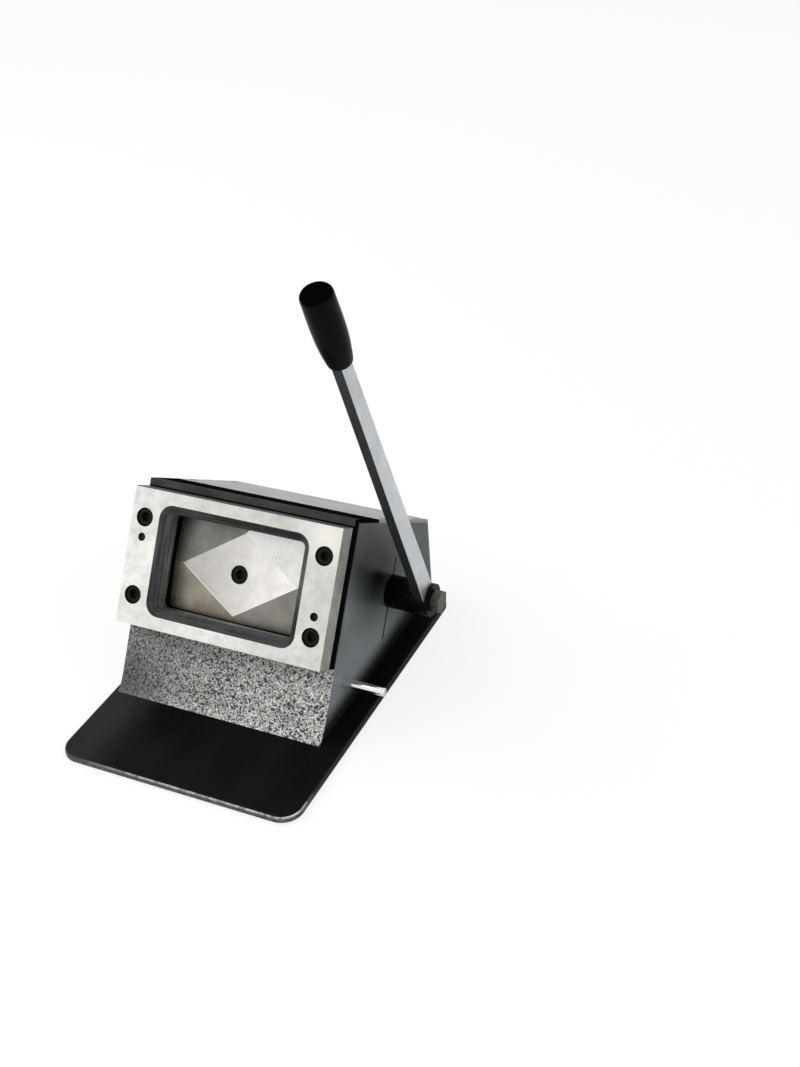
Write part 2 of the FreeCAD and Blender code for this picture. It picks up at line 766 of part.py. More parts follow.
def make_die_plate():
    """The ground plate with the card-sized land, chamfered towards the front."""
    body = new_body("die_plate")
    sketch = new_sketch(body, "XY_Plane", -S["die_thickness"])
    draw_rectangle(sketch, 0, MIDDLE, DIE_WIDTH, DIE_HEIGHT)
    pad(body, sketch, S["die_thickness"])
    sketch = new_sketch(body, "XY_Plane")
    draw_rectangle(sketch, 0, MIDDLE, S["card_width"], S["card_height"], S["card_corner"])
    window = pocket(body, sketch)
    doc.recompute()
    reach = S["card_width"].value / 2 + 0.01
    edges = []
    for number, edge in enumerate(window.Shape.Edges, start=1):
        bounds = edge.BoundBox
        if bounds.ZMin > -0.01 and max(abs(bounds.XMin), abs(bounds.XMax)) < reach:
            edges.append("Edge%d" % number)
    chamfer = body.newObject("PartDesign::Chamfer", "window_chamfer")
    chamfer.Base = (window, edges)
    bind(chamfer, "Size", S["window_chamfer"])
    drill(body, "XY_Plane", None, DIE_SCREWS, M6_CAP["head"] + S["head_room"], DIE_SCREW_SEAT)
    drill(body, "XY_Plane", None, DIE_SCREWS, M6_CAP["shank"])
    drill(body, "XY_Plane", None, DOWELS, S["dowel_radius"])
    on_press(body)


def make_slot_spacer():
    """The U-shaped shim that holds the slot open and stops the sheet at its foot."""
    body = new_body("slot_spacer")
    outer = DIE_WIDTH / 2 - S["spacer_inset"]
    inner = S["card_width"] / 2 + S["slot_side_margin"]
    top = DIE_HEIGHT - S["spacer_drop"]
    foot = S["stop_height"]
    sketch = new_sketch(body, "XY_Plane", -GUIDE_FRONT)
    draw_outline(sketch, [(-outer, 0), (outer, 0), (outer, top), (inner, top), (inner, foot),
                          (-inner, foot), (-inner, top), (-outer, top)])
    pad(body, sketch, S["slot_gap"])
    drill(body, "XY_Plane", None, DIE_SCREWS, M6_CAP["shank"])
    drill(body, "XY_Plane", None, DOWELS, S["dowel_radius"])
    on_press(body)


def make_guide_plate():
    body = new_body("guide_plate")
    sketch = new_sketch(body, "XY_Plane", -BLOCK_FRONT)
    draw_rectangle(sketch, 0, COVER_HEIGHT / 2, DIE_WIDTH, COVER_HEIGHT)
    pad(body, sketch, S["guide_thickness"])
    cut_guide_bore(body, -GUIDE_FRONT)
    drill(body, "XY_Plane", None, DIE_SCREWS, M6_CAP["shank"])
    drill(body, "XY_Plane", None, DOWELS, S["dowel_radius"])
    on_press(body)


def make_die_screws():
    screws = [cap_screw(M6_CAP, x, y, -DIE_SCREW_SEAT, DIE_SCREW_LENGTH) for x, y in DIE_SCREWS]
    on_press(group(screws, "die_screws"))


def make_dowel_pins():
    length = BLOCK_FRONT + S["dowel_seat"] - S["dowel_recess"]
    pins = [cylinder(S["dowel_radius"], length, x, y, -BLOCK_FRONT - S["dowel_seat"]) for x, y in DOWELS]
    on_press(group(pins, "dowel_pins"))


# ---------------------------------------------------------------- punch and ram
PUNCH_WIDTH = S["card_width"] - 2 * S["die_clearance"]
PUNCH_HEIGHT = S["card_height"] - 2 * S["die_clearance"]
NECK_WIDTH = S["card_width"] - 2 * S["neck_side_inset"]
NECK_HEIGHT = S["card_height"] - 2 * S["neck_end_inset"]
RAM_WIDTH = 2 * (S["card_width"] / 2 + S["rod_side_margin"] + S["ram_side_margin"])
RAM_HEIGHT = S["rod_pitch"] + 2 * S["ram_end_margin"]
PUNCH_DOWELS = [((NECK_WIDTH / 2 - S["punch_dowel_inset"]) * side, MIDDLE) for side in (-1, 1)]
PAD_SCREWS = [((S["pad_width"] / 2 - S["pad_screw_inset"]) * side, MIDDLE) for side in (-1, 1)]
RAM_BUSH_RADIUS = S["rod_radius"] + S["slide_clearance"] + S["bush_wall"]


def card_blank(back, length):
    """A card-shaped bar with the punch's outline."""
    body = doc.addObject("PartDesign::Body", "card_blank")
    sketch = new_sketch(body, "XY_Plane", back)
    draw_rectangle(sketch, 0, MIDDLE, PUNCH_WIDTH, PUNCH_HEIGHT, S["card_corner"] - S["die_clearance"])
    pad(body, sketch, length)
    return body


def facet_tools():
    """Flat tools that each take one corner off the punch's face, down from the diamond's sides."""
    wide, tall = S["diamond_half_width"], S["diamond_half_height"]
    steepness = root(1 / (wide * wide) + 1 / (tall * tall))
    reach = ((PUNCH_WIDTH / wide + PUNCH_HEIGHT / tall) / 2 - 1) / steepness
    tools = []
    for side, rise, drop in ((-1, -1, S["facet_drop"]), (-1, 1, S["facet_drop"]),
                             (1, -1, S["facet_drop"]), (1, 1, S["shallow_facet_drop"])):
        along = Vector(-rise / tall.value, side / wide.value, 0)
        tools.append(cylinder(S["card_width"], S["punch_thickness"], wide * side / 2,
                              MIDDLE + tall * rise / 2, -PUNCH_FRONT, along, arctangent(drop / reach)))
    return tools


def make_punch():
    """The punch: a diamond plateau, four facets that fall away to the corners, one screw."""
    blank = card_blank(-PUNCH_BACK, S["punch_thickness"])
    seat = PUNCH_FRONT + S["punch_screw_seat"]
    well = cylinder(M6_CAP["head"] + S["head_room"], S["punch_screw_seat"], 0, MIDDLE, -seat)
    bore = cylinder(M6_CAP["shank"], S["punch_thickness"], 0, MIDDLE, -PUNCH_BACK)
    dowels = [cylinder(S["punch_dowel_radius"], S["punch_dowel_seat"], x, y, -PUNCH_BACK)
              for x, y in PUNCH_DOWELS]
    keep(on_press(cut(blank, *facet_tools(), well, bore, *dowels)), "punch")


def make_punch_screw():
    seat = PUNCH_FRONT + S["punch_screw_seat"]
    keep(on_press(cap_screw(M6_CAP, 0, MIDDLE, -seat, S["punch_screw_length"])), "punch_screw")


def make_punch_dowels():
    pins = [cylinder(S["punch_dowel_radius"], 2 * S["punch_dowel_seat"], x, y, -PUNCH_BACK - S["punch_dowel_seat"])
            for x, y in PUNCH_DOWELS]
    on_press(group(pins, "punch_dowels"))


def make_ram():
    """The plate behind the punch, with a neck that follows it into the guide block."""
    body = new_body("ram")
    sketch = new_sketch(body, "XY_Plane", -RAM_BACK)
    draw_rectangle(sketch, 0, MIDDLE, RAM_WIDTH, RAM_HEIGHT)
    pad(body, sketch, RAM_BACK - RAM_FRONT)
    sketch = new_sketch(body, "XY_Plane", -RAM_FRONT)
    draw_rectangle(sketch, 0, MIDDLE, NECK_WIDTH, NECK_HEIGHT)
    pad(body, sketch, RAM_FRONT - PUNCH_BACK)
    sketch = new_sketch(body, "XY_Plane", -RAM_BACK)
    draw_rectangle(sketch, 0, MIDDLE, S["pad_width"], S["pad_height"])
    pocket(body, sketch, S["pad_sink"], forward=True)
    drill(body, "XY_Plane", -RAM_BACK, RODS, RAM_BUSH_RADIUS, forward=True)
    drill(body, "XY_Plane", -RAM_FRONT, RODS, S["spring_pocket_radius"], S["ram_pocket"])
    screw_end = PUNCH_FRONT + S["punch_screw_seat"] + S["punch_screw_length"]
    drill(body, "XY_Plane", -PUNCH_BACK, [(0, MIDDLE)], M6_CAP["shank"], screw_end - PUNCH_BACK)
    drill(body, "XY_Plane", -PUNCH_BACK, PUNCH_DOWELS, S["punch_dowel_radius"], S["punch_dowel_seat"])
    drill(body, "XY_Plane", -RAM_BACK, PAD_SCREWS, M4_FLAT["shank"],
          S["pad_screw_length"] - S["pad_thickness"] + S["pad_sink"], forward=True)
    on_press(body)


def make_ram_bushes():
    length = RAM_BACK - RAM_FRONT - S["ram_pocket"]
    bushes = [cut(cylinder(RAM_BUSH_RADIUS, length, x, y, -RAM_BACK),
                  cylinder(S["rod_radius"] + S["slide_clearance"], length, x, y, -RAM_BACK))
              for x, y in RODS]
    on_press(group(bushes, "ram_bushes"))


def make_guide_rods():
    length = S["rod_seat"] + RAM_BACK + S["rod_tail"] - BLOCK_BACK
    rods = [cylinder(S["rod_radius"], length, x, y, -RAM_BACK - S["rod_tail"]) for x, y in RODS]
    on_press(group(rods, "guide_rods"))


def make_return_springs():
    """Coil springs on the guide rods that push the ram back."""
    back = RAM_FRONT + S["ram_pocket"] - S["spring_gap"] - S["spring_wire_radius"]
    front = BLOCK_BACK - S["spring_pocket"] + S["spring_gap"] + S["spring_wire_radius"]
    springs = []
    for x, y in RODS:
        coil = doc.addObject("Part::Helix", "coil")
        bind(coil, "Radius", S["spring_coil_radius"])
        bind(coil, "Height", back - front)
        bind(coil, "Pitch", (back - front) / S["spring_turns"])
        place(coil, x, y, -back)
        wire = doc.addObject("Sketcher::SketchObject", "wire")
        draw_circle(wire, 0, 0, S["spring_wire_radius"])
        place(wire, x + S["spring_coil_radius"], y, -back, X_AXIS, size(90))
        spring = doc.addObject("Part::Sweep", "spring")
        spring.Sections = [wire]
        spring.Spine = (coil, [])
        spring.Solid = True
        spring.Frenet = True
        springs.append(spring)
    on_press(group(springs, "return_springs"))


def make_wear_pad():
    """The hard pad on the ram's back that the eccentric pushes."""
    plate = box(S["pad_width"], S["pad_height"], S["pad_thickness"],
                -S["pad_width"] / 2, MIDDLE - S["pad_height"] / 2, -PAD_BACK)
    holes = [flat_hole(M4_FLAT, S["pad_screw_length"], x, y, -PAD_BACK, X_AXIS, size(180))
             for x, y in PAD_SCREWS]
    keep(on_press(cut(plate, *holes)), "wear_pad")


def make_pad_screws():
    screws = [flat_screw(M4_FLAT, S["pad_screw_length"], x, y, -PAD_BACK, X_AXIS, size(180))
              for x, y in PAD_SCREWS]
    on_press(group(screws, "pad_screws"))


# ---------------------------------------------------------------- shaft and lever
HUB_START = HALF_BODY + S["side_gap"]
HUB_END = HUB_START + S["hub_length"]
BAR_END = HUB_END - S["hub_cap"]
GRIP_START = S["bar_length"] - S["grip_cover"]
BAR_START = BAR_END - S["bar_thickness"]
KEY_LOW = S["shaft_radius"] - S["key_seat"]
ECCENTRIC_TURN = -S["lean"] - HALF_SWING
COLLAR_START = (HALF_BODY - S["wall_thickness"] - S["flange_thickness"] - S["side_gap"]
                - S["collar_length"])


def turned(obj, angle):
    """The object turned about the shaft's axis."""
    holder = doc.addObject("Part::Compound", "turned")
    holder.Links = [obj]
    return place(holder, 0, 0, 0, X_AXIS, angle)


def eccentric_key(angle):
    key = box(S["eccentric_width"], S["key_width"], S["key_height"],
              -S["eccentric_width"] / 2, -S["key_width"] / 2, KEY_LOW)
    return turned(key, angle)


def hub_key():
    length = BAR_START - HUB_START - S["key_width"]
    return box(length, S["key_width"], S["key_height"], HUB_START + S["key_width"] / 2,
               -S["key_width"] / 2, -KEY_LOW - S["key_height"])


def make_shaft():
    """The cross shaft, tapped for the hub bolt and slotted for the two keys."""
    rod = bar_along_x(S["shaft_radius"], HALF_BODY + BAR_START, -HALF_BODY)
    bolt = bar_along_x(S["m8_shank_radius"], HUB_END - BAR_START + S["hub_bolt_length"],
                       HUB_END - S["hub_bolt_length"])
    keep(on_lever(cut(rod, bolt, hub_key(), eccentric_key(ECCENTRIC_TURN - S["lever_lean"]))), "shaft")


def make_shaft_keys():
    keys = [hub_key(), eccentric_key(ECCENTRIC_TURN - S["lever_lean"])]
    on_lever(group(keys, "shaft_keys"))


def make_eccentric():
    """The round cam; its thick side carries the key."""
    half = S["eccentric_width"] / 2
    disc = bar_along_x(S["eccentric_radius"], S["eccentric_width"], -half, 0, S["eccentric_offset"])
    bore = bar_along_x(S["shaft_radius"], S["eccentric_width"], -half)
    keep(place(cut(disc, bore, eccentric_key(size(0))), PRESS_X, PRESS_Y + SHAFT_Y,
               PRESS_Z + SHAFT_Z, X_AXIS, ECCENTRIC_TURN), "eccentric")


def make_shaft_bushes():
    """Flanged bushes pressed into the walls from inside."""
    bushes = []
    for side in (-1, 1):
        inner = HALF_BODY - S["wall_thickness"]
        tube_start = -HALF_BODY if side < 0 else inner
        flange_start = -inner if side < 0 else inner - S["flange_thickness"]
        tube = bar_along_x(S["bush_radius"], S["wall_thickness"], tube_start, SHAFT_Y, SHAFT_Z)
        flange = bar_along_x(S["flange_radius"], S["flange_thickness"], flange_start, SHAFT_Y, SHAFT_Z)
        bore = bar_along_x(S["shaft_radius"] + S["shaft_clearance"], BODY_WIDTH,
                           -HALF_BODY, SHAFT_Y, SHAFT_Z)
        bushes.append(cut(fuse(tube, flange), bore))
    on_body(group(bushes, "shaft_bushes"))


def grub(x):
    """Form of a collar's grub screw, seated on the shaft."""
    return cylinder(S["m5_shank_radius"], S["grub_length"], x, 0, S["shaft_radius"])


def make_shaft_collars():
    """Two collars that keep the shaft from moving endways, each with a grub screw."""
    collars = []
    screws = []
    for start in (-COLLAR_START - S["collar_length"], COLLAR_START):
        middle = start + S["collar_length"] / 2
        ring = bar_along_x(S["collar_radius"], S["collar_length"], start)
        bore = bar_along_x(S["shaft_radius"], S["collar_length"], start)
        hole = cylinder(S["m5_shank_radius"], S["collar_radius"], middle)
        collars.append(cut(ring, bore, hole))
        socket = prism(S["m5_key"], S["grub_length"] / 2, middle, 0,
                       S["shaft_radius"] + S["grub_length"] / 2)
        screws.append(cut(grub(middle), socket))
    on_lever(group(collars, "shaft_collars"))
    on_lever(group(screws, "collar_screws"))


def make_lever_hub():
    """The round hub on the shaft's end, with a slot near its end cap that takes the bar."""
    barrel = bar_along_x(S["hub_radius"], S["hub_length"], HUB_START)
    bore = bar_along_x(S["shaft_radius"], BAR_START - HUB_START, HUB_START)
    bolt = bar_along_x(S["m8_shank_radius"], S["hub_length"], HUB_START)
    slot = box(S["bar_thickness"], S["bar_width"], S["bar_tail"] + S["hub_radius"],
               BAR_START, -S["bar_width"] / 2, -S["bar_tail"])
    keep(on_lever(cut(barrel, bore, bolt, slot, hub_key())), "lever_hub")


def make_lever_bar():
    body = new_body("lever_bar")
    sketch = new_sketch(body, "YZ_Plane", BAR_START)
    low, high = S["bar_width"] / 2, S["bar_top_width"] / 2
    draw_outline(sketch, [(-low, -S["bar_tail"]), (low, -S["bar_tail"]), (low, S["hub_radius"]),
                          (high, GRIP_START), (high, S["bar_length"]),
                          (-high, S["bar_length"]), (-high, GRIP_START),
                          (-low, S["hub_radius"])])
    pad(body, sketch, S["bar_thickness"])
    drill(body, "YZ_Plane", BAR_START, [(0, 0)], S["m8_shank_radius"], forward=True)
    on_lever(body)


def make_hub_bolt():
    head = prism(S["m8_across_flats"], S["m8_head_height"], HUB_END, 0, 0, Y_AXIS, size(90))
    shank = bar_along_x(S["m8_shank_radius"], S["hub_bolt_length"], HUB_END - S["hub_bolt_length"])
    keep(on_lever(fuse(head, shank)), "hub_bolt")


def make_lever_grip():
    """The tapered grip, with a slot for the bar's end."""
    body = new_body("lever_grip")
    start, end = GRIP_START, GRIP_START + S["grip_length"]
    sketch = new_sketch(body, "XZ_Plane")
    draw_outline(sketch, [(0, start), (S["grip_end_radius"], start),
                          (S["grip_radius"], start + S["grip_swell"]),
                          (S["grip_top_radius"], end - S["grip_edge"]),
                          (S["grip_top_radius"] - S["grip_edge"], end), (0, end)])
    turn = body.newObject("PartDesign::Revolution", "grip_turn")
    turn.Profile = sketch
    turn.ReferenceAxis = (sketch, ["V_Axis"])
    turn.Angle = 360
    sketch = new_sketch(body, "XY_Plane", start)
    draw_rectangle(sketch, 0, 0, S["bar_thickness"], S["bar_top_width"])
    pocket(body, sketch, S["bar_length"] - start, forward=True)
    place(body, PRESS_X + BAR_START + S["bar_thickness"] / 2, PRESS_Y + SHAFT_Y, PRESS_Z + SHAFT_Z,
          X_AXIS, S["lever_lean"])


def make_stop_pin():
    y, z = level(-S["stop_pin_drop"], S["stop_pin_depth"])
    pin = bar_along_x(S["stop_pin_radius"], S["wall_thickness"] + S["stop_pin_reach"],
                      HALF_BODY - S["wall_thickness"], y, z)
    tip = doc.addObject("Part::Chamfer", "stop_pin")
    doc.recompute()
    end = HALF_BODY.value + S["stop_pin_reach"].value
    edges = [number for number, edge in enumerate(pin.Shape.Edges, start=1)
             if edge.BoundBox.XMin > end - 0.01]
    tip.Base = pin
    tip.Edges = [(number, S["stop_pin_chamfer"].value, S["stop_pin_chamfer"].value) for number in edges]
    keep(on_body(tip), "stop_pin")


# ---------------------------------------------------------------- build and export
make_rubber_mat()
make_base_plate()
make_base_screws()
make_tie("front_tie", BASE_SCREW_Y[0])
make_tie("rear_tie", BASE_SCREW_Y[1])
make_wall("left_wall", -1)
make_wall("right_wall", 1)
make_top_strip()
make_top_cover()
make_rear_cover()
make_cover_screws()
make_chute()
make_guide_block()
make_guide_plate()
make_slot_spacer()
make_die_plate()
make_die_screws()
make_dowel_pins()
make_punch()
make_punch_screw()
make_punch_dowels()
make_ram()
make_ram_bushes()
make_wear_pad()
make_pad_screws()
make_guide_rods()
make_return_springs()
make_shaft()
make_shaft_keys()
make_eccentric()
make_shaft_bushes()
make_shaft_collars()
make_lever_hub()
make_lever_bar()
make_lever_grip()
make_hub_bolt()
make_stop_pin()
doc.recompute()

for obj in doc.Objects:
    if "Invalid" in obj.State or "Error" in obj.State:
        raise RuntimeError("%s: %s" % (obj.Label, obj.State))

os.makedirs("parts", exist_ok=True)
for obj in SUBPARTS:
    shape = obj.Shape
    if shape.isNull() or not shape.isValid() or not shape.Solids:
        raise RuntimeError("%s has no valid solid" % obj.Label)
    shape.exportStep("parts/%s.step" % obj.Label)
    print("%-16s %2d solids %10.1f mm3" % (obj.Label, len(shape.Solids), shape.Volume))
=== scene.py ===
"""Bench cutter for plastic cards, dressed piece by piece in the order it is put together.

World axes: X to the lever side, Y to the rear, Z up. Press axes: x along the die plate, y up its
face and z straight out of it, from the middle of its lower front edge."""
import math

import bmesh
import bpy
from mathutils import Matrix, Vector


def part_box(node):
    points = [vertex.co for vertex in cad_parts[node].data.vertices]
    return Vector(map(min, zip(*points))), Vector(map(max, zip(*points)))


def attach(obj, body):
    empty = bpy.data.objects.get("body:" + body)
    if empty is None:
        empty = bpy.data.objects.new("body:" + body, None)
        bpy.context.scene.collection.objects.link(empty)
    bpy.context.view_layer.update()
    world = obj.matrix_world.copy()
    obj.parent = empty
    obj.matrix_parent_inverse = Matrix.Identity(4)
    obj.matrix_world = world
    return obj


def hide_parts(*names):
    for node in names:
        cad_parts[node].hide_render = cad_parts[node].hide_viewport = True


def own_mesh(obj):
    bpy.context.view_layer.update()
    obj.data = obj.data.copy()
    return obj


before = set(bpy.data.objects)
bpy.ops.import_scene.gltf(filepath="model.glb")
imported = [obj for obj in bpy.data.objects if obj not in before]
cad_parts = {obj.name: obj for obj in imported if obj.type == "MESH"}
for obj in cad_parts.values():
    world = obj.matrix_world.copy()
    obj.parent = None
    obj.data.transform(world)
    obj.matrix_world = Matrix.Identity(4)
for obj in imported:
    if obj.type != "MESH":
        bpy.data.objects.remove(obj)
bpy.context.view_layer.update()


# ---------------------------------------------------------------- rubber mat
# A thin sheet of black rubber glued under the base so that the cutter doesn't slide when the
# lever is pulled. Cut from sheet stock, with the fine grain of a moulded rubber face.
class Finish:
    """One surface finish: a Principled shader and the textures that feed it."""

    def __init__(self, name, colour, roughness, metallic=0.0, shine=0.5):
        self.material = bpy.data.materials.new(name)
        self.material.use_nodes = True
        self.tree = self.material.node_tree
        self.shader = self.tree.nodes["Principled BSDF"]
        self.set(self.shader, {"Base Color": (*colour, 1), "Roughness": roughness,
                               "Metallic": metallic, "Specular IOR Level": shine})
        self.coords = self.tree.nodes.new("ShaderNodeTexCoord").outputs["Object"]
        self.relief = None

    def set(self, node, sockets):
        """Fills a node's sockets, each with a value or with a link to another node's output."""
        for socket, value in sockets.items():
            if hasattr(value, "links"):
                self.tree.links.new(value, node.inputs[socket])
            else:
                node.inputs[socket].default_value = value

    def add(self, kind, sockets=None, **settings):
        """A new shader node of this kind, with its sockets and settings filled in."""
        node = self.tree.nodes.new("ShaderNode" + kind)
        for setting, value in settings.items():
            setattr(node, setting, value)
        self.set(node, sockets or {})
        return node

    def grain(self, size, stretch=(1, 1, 1), turn=(0, 0, 0), detail=3.0, rough=0.55):
        """Noise with features of about this size in metres, drawn out along the stretched axes."""
        scale = tuple(1 / (size * factor) for factor in stretch)
        place = self.add("Mapping", {"Vector": self.coords, "Rotation": turn, "Scale": (1, 1, 1)})
        squeeze = self.add("Mapping", {"Vector": place.outputs["Vector"], "Scale": scale})
        return self.add("TexNoise", {"Vector": squeeze.outputs["Vector"], "Scale": 1.0,
                                     "Detail": detail, "Roughness": rough}).outputs["Fac"]

    def specks(self, size):
        """Random grey for each cell of about this size in metres."""
        cells = self.add("TexVoronoi", {"Vector": self.coords, "Scale": 1 / size,
                                        "Randomness": 1.0})
        return self.add("SeparateColor", {"Color": cells.outputs["Color"]}).outputs["Red"]

    def near(self, point, reach):
        """1 at the point, falling softly to 0 at this distance from it."""
        away = self.add("VectorMath", {0: self.coords, 1: point}, operation="DISTANCE")
        limits = {"From Min": 0.0, "From Max": reach, "To Min": 1.0, "To Max": 0.0}
        return self.add("MapRange", {"Value": away.outputs["Value"], **limits},
                        interpolation_type="SMOOTHSTEP").outputs["Result"]

    def along(self, axis, start, end):
        """0 up to start on this axis or in this direction, and 1 from end on."""
        if isinstance(axis, str):
            place = self.add("SeparateXYZ", {"Vector": self.coords}).outputs[axis]
        else:
            place = self.add("VectorMath", {0: self.coords, 1: axis},
                             operation="DOT_PRODUCT").outputs["Value"]
        return self.add("MapRange", {"Value": place, "From Min": start, "From Max": end},
                        interpolation_type="SMOOTHSTEP").outputs["Result"]

    def ramp(self, source, stops):
        """The colours of the stops, blended by the source's value."""
        node = self.add("ValToRGB", {"Fac": source})
        points = node.color_ramp.elements
        while len(points) < len(stops):
            points.new(0.5)
        for point, (place, colour) in zip(points, stops):
            point.position = place
            point.color = (*colour, 1)
        return node.outputs["Color"]

    def mix(self, share, first, second, how="MIX"):
        """The first colour turned into the second by this share.

        The Mix node's input 0 is the share, 6 and 7 are the colours, and output 2 the result."""
        node = self.add("Mix", data_type="RGBA", blend_type=how)
        self.set(node, {0: share})
        for number, value in ((6, first), (7, second)):
            self.set(node, {number: value if hasattr(value, "links") else (*value, 1)})
        return node.outputs[2]

    def colour(self, source):
        """The surface's colour, read from the source."""
        self.set(self.shader, {"Base Color": source})

    def gloss(self, source, low, high):
        """Roughness that runs from low to high with the source's middle values."""
        spread = self.add("MapRange", {"Value": source, "From Min": 0.3, "From Max": 0.7,
                                       "To Min": low, "To Max": high})
        self.set(self.shader, {"Roughness": spread.outputs["Result"]})

    def bump(self, source, height, strength=1.0):
        """Relief of this height in metres, on top of any added before."""
        node = self.add("Bump", {"Height": source, "Distance": height, "Strength": strength})
        if self.relief:
            self.set(node, {"Normal": self.relief})
        self.relief = node.outputs["Normal"]
        self.set(self.shader, {"Normal": self.relief})


def dress(node, finish):
    """Gives a CAD node its finish."""
    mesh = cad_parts[node].data
    mesh.materials.clear()
    mesh.materials.append(finish.material)


mat_rubber = Finish("mat_rubber", (0.018, 0.018, 0.018), 0.75)
mat_grain = mat_rubber.grain(0.0006)
mat_rubber.bump(mat_grain, 0.00008)
mat_rubber.gloss(mat_grain, 0.62, 0.85)
dress("rubber_mat", mat_rubber)


# ---------------------------------------------------------------- base plate
# Steel plate with rounded corners and a rounded upper edge, sprayed black. The paint has a slight
# orange peel, dust with a painted sheen on the left, and a front edge that years of handling have
# rubbed bare, with a painted highlight along it.
def rounded_face(shape, width, height, corner, steps=8, x=0.0, y=0.0, z=0.0):
    """Adds one flat face with rounded corners, facing +z, and gives its vertices."""
    made = bmesh.ops.create_grid(shape, x_segments=1, y_segments=1, size=0.5)["verts"]
    bmesh.ops.scale(shape, vec=(width, height, 1), verts=made)
    bmesh.ops.translate(shape, vec=(x, y, z), verts=made)
    if not corner:
        return made
    cut = bmesh.ops.bevel(shape, geom=made, offset=corner, segments=steps, profile=0.5,
                          affect="VERTICES", material=-1)
    return list({vert for face in cut["faces"] for vert in face.verts} | set(cut["verts"]))


def sharp_edges(shape, angle=30, wanted=lambda edge: True):
    """The edges where faces meet at more than this many degrees."""
    limit = math.radians(angle)
    return [edge for edge in shape.edges
            if len(edge.link_faces) == 2 and edge.calc_face_angle(0) > limit and wanted(edge)]


def verts_of(items):
    """The vertices among what an operator made."""
    return [item for item in items if isinstance(item, bmesh.types.BMVert)]


def soften(shape, width, segments=2, angle=30, wanted=lambda edge: True):
    """Rounds the sharp edges by this width."""
    bmesh.ops.bevel(shape, geom=sharp_edges(shape, angle, wanted), offset=width, segments=segments,
                    profile=0.5, affect="EDGES", clamp_overlap=True, material=-1)


def finished(name, shape, finishes, body, nodes=(), smooth=32, place=None, flat=0.00004):
    """Makes the object from the mesh in the making, and hands it to the body that carries it.

    Edges of more than smooth degrees stay sharp. Faces of more than the flat area, in square
    metres, aren't shaded round."""
    if place is not None:
        bmesh.ops.transform(shape, matrix=place, verts=shape.verts)
    bmesh.ops.remove_doubles(shape, verts=shape.verts, dist=0.000002)
    bmesh.ops.recalc_face_normals(shape, faces=shape.faces)
    mesh = bpy.data.meshes.new(name)
    shape.to_mesh(mesh)
    shape.free()
    mesh.shade_smooth()
    mesh.set_sharp_from_angle(angle=math.radians(smooth))
    for face in mesh.polygons:
        face.use_smooth = face.area < flat
    for finish in finishes:
        mesh.materials.append(finish.material)
    thing = bpy.data.objects.new(name, mesh)
    bpy.context.scene.collection.objects.link(thing)
    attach(thing, body)
    if nodes:
        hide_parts(*nodes)
    return thing


base_black = Finish("base_black", (0.006, 0.006, 0.0055), 0.36, shine=0.035)
peel = base_black.grain(0.0016, detail=2)
smears = base_black.grain(0.03, (1, 3, 1), detail=4)
base_black.bump(peel, 0.00003)
base_black.gloss(smears, 0.26, 0.46)
# Lighter towards the left: dust and a painted sheen.
dust_and_sheen = base_black.ramp(smears, [(0.3, (0.013, 0.014, 0.0135)), (0.7, (0.023, 0.025, 0.024))])
clean = base_black.ramp(smears, [(0.3, (0.002, 0.002, 0.0018)), (0.7, (0.0055, 0.0055, 0.005))])
base_black.colour(base_black.mix(base_black.along("X", -0.068, -0.03), dust_and_sheen, clean))
# The rounded top edge is worn bare and carries a painted highlight: light and metallic along the
# front, fading out to the left and black along the sides and rear.
rubbed_and_highlit = Finish("rubbed_edge_highlit", (0.3, 0.3, 0.29), 0.32, 0.5, 0.4)
bare_and_highlit = rubbed_and_highlit.ramp(rubbed_and_highlit.grain(0.004, detail=5, rough=0.7), [
    (0.33, (0.05, 0.05, 0.05)), (0.55, (0.46, 0.46, 0.45))])
bare_and_highlit = rubbed_and_highlit.mix(rubbed_and_highlit.along("X", -0.072, 0.0), (0.04, 0.04, 0.04), bare_and_highlit)
rubbed_and_highlit.colour(rubbed_and_highlit.mix(rubbed_and_highlit.along("Y", -0.1, -0.08), bare_and_highlit, (0.004, 0.004, 0.004)))
sawn_edge = Finish("sawn_edge", (0.07, 0.07, 0.07), 0.5, shine=0.15)
scuffs = sawn_edge.ramp(sawn_edge.grain(0.0025, (2, 2, 1), detail=5, rough=0.7), [
    (0.35, (0.035, 0.035, 0.035)), (0.65, (0.13, 0.13, 0.13))])
sawn_edge.colour(sawn_edge.mix(sawn_edge.along("Y", -0.1, -0.07), scuffs, (0.006, 0.006, 0.006)))
base_width, base_length, base_corner = 0.15, 0.211, 0.012
upper_edge, lower_edge, hair = 0.0018, 0.0003, 0.0001
low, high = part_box("base_plate")
base = bmesh.new()
rounded_face(base, base_width, base_length, base_corner, 12, z=low.z)
top = bmesh.ops.extrude_face_region(base, geom=base.faces[:])["geom"]
bmesh.ops.translate(base, vec=(0, 0, high.z - low.z), verts=verts_of(top))
soften(base, upper_edge, 5,
       wanted=lambda edge: min(vert.co.z for vert in edge.verts) > high.z - hair)
soften(base, lower_edge, 2, 60,
       wanted=lambda edge: max(vert.co.z for vert in edge.verts) < low.z + hair)
side_slope, top_slope = 0.4, 0.8
for face in base.faces:
    face.normal_update()
    if side_slope < face.normal.z < top_slope:
        face.material_index = 1
    elif abs(face.normal.z) < side_slope:
        face.material_index = 2
finished("base_plate_painted", base, [base_black, rubbed_and_highlit, sawn_edge], "frame", ["base_plate"])

# The four countersunk screws that hold the base plate to the tie bars, zinc plated.
zinc = Finish("zinc_plated_steel", (0.55, 0.56, 0.58), 0.32, 1.0)
zinc.gloss(zinc.grain(0.0008), 0.25, 0.42)
dress("base_screws", zinc)


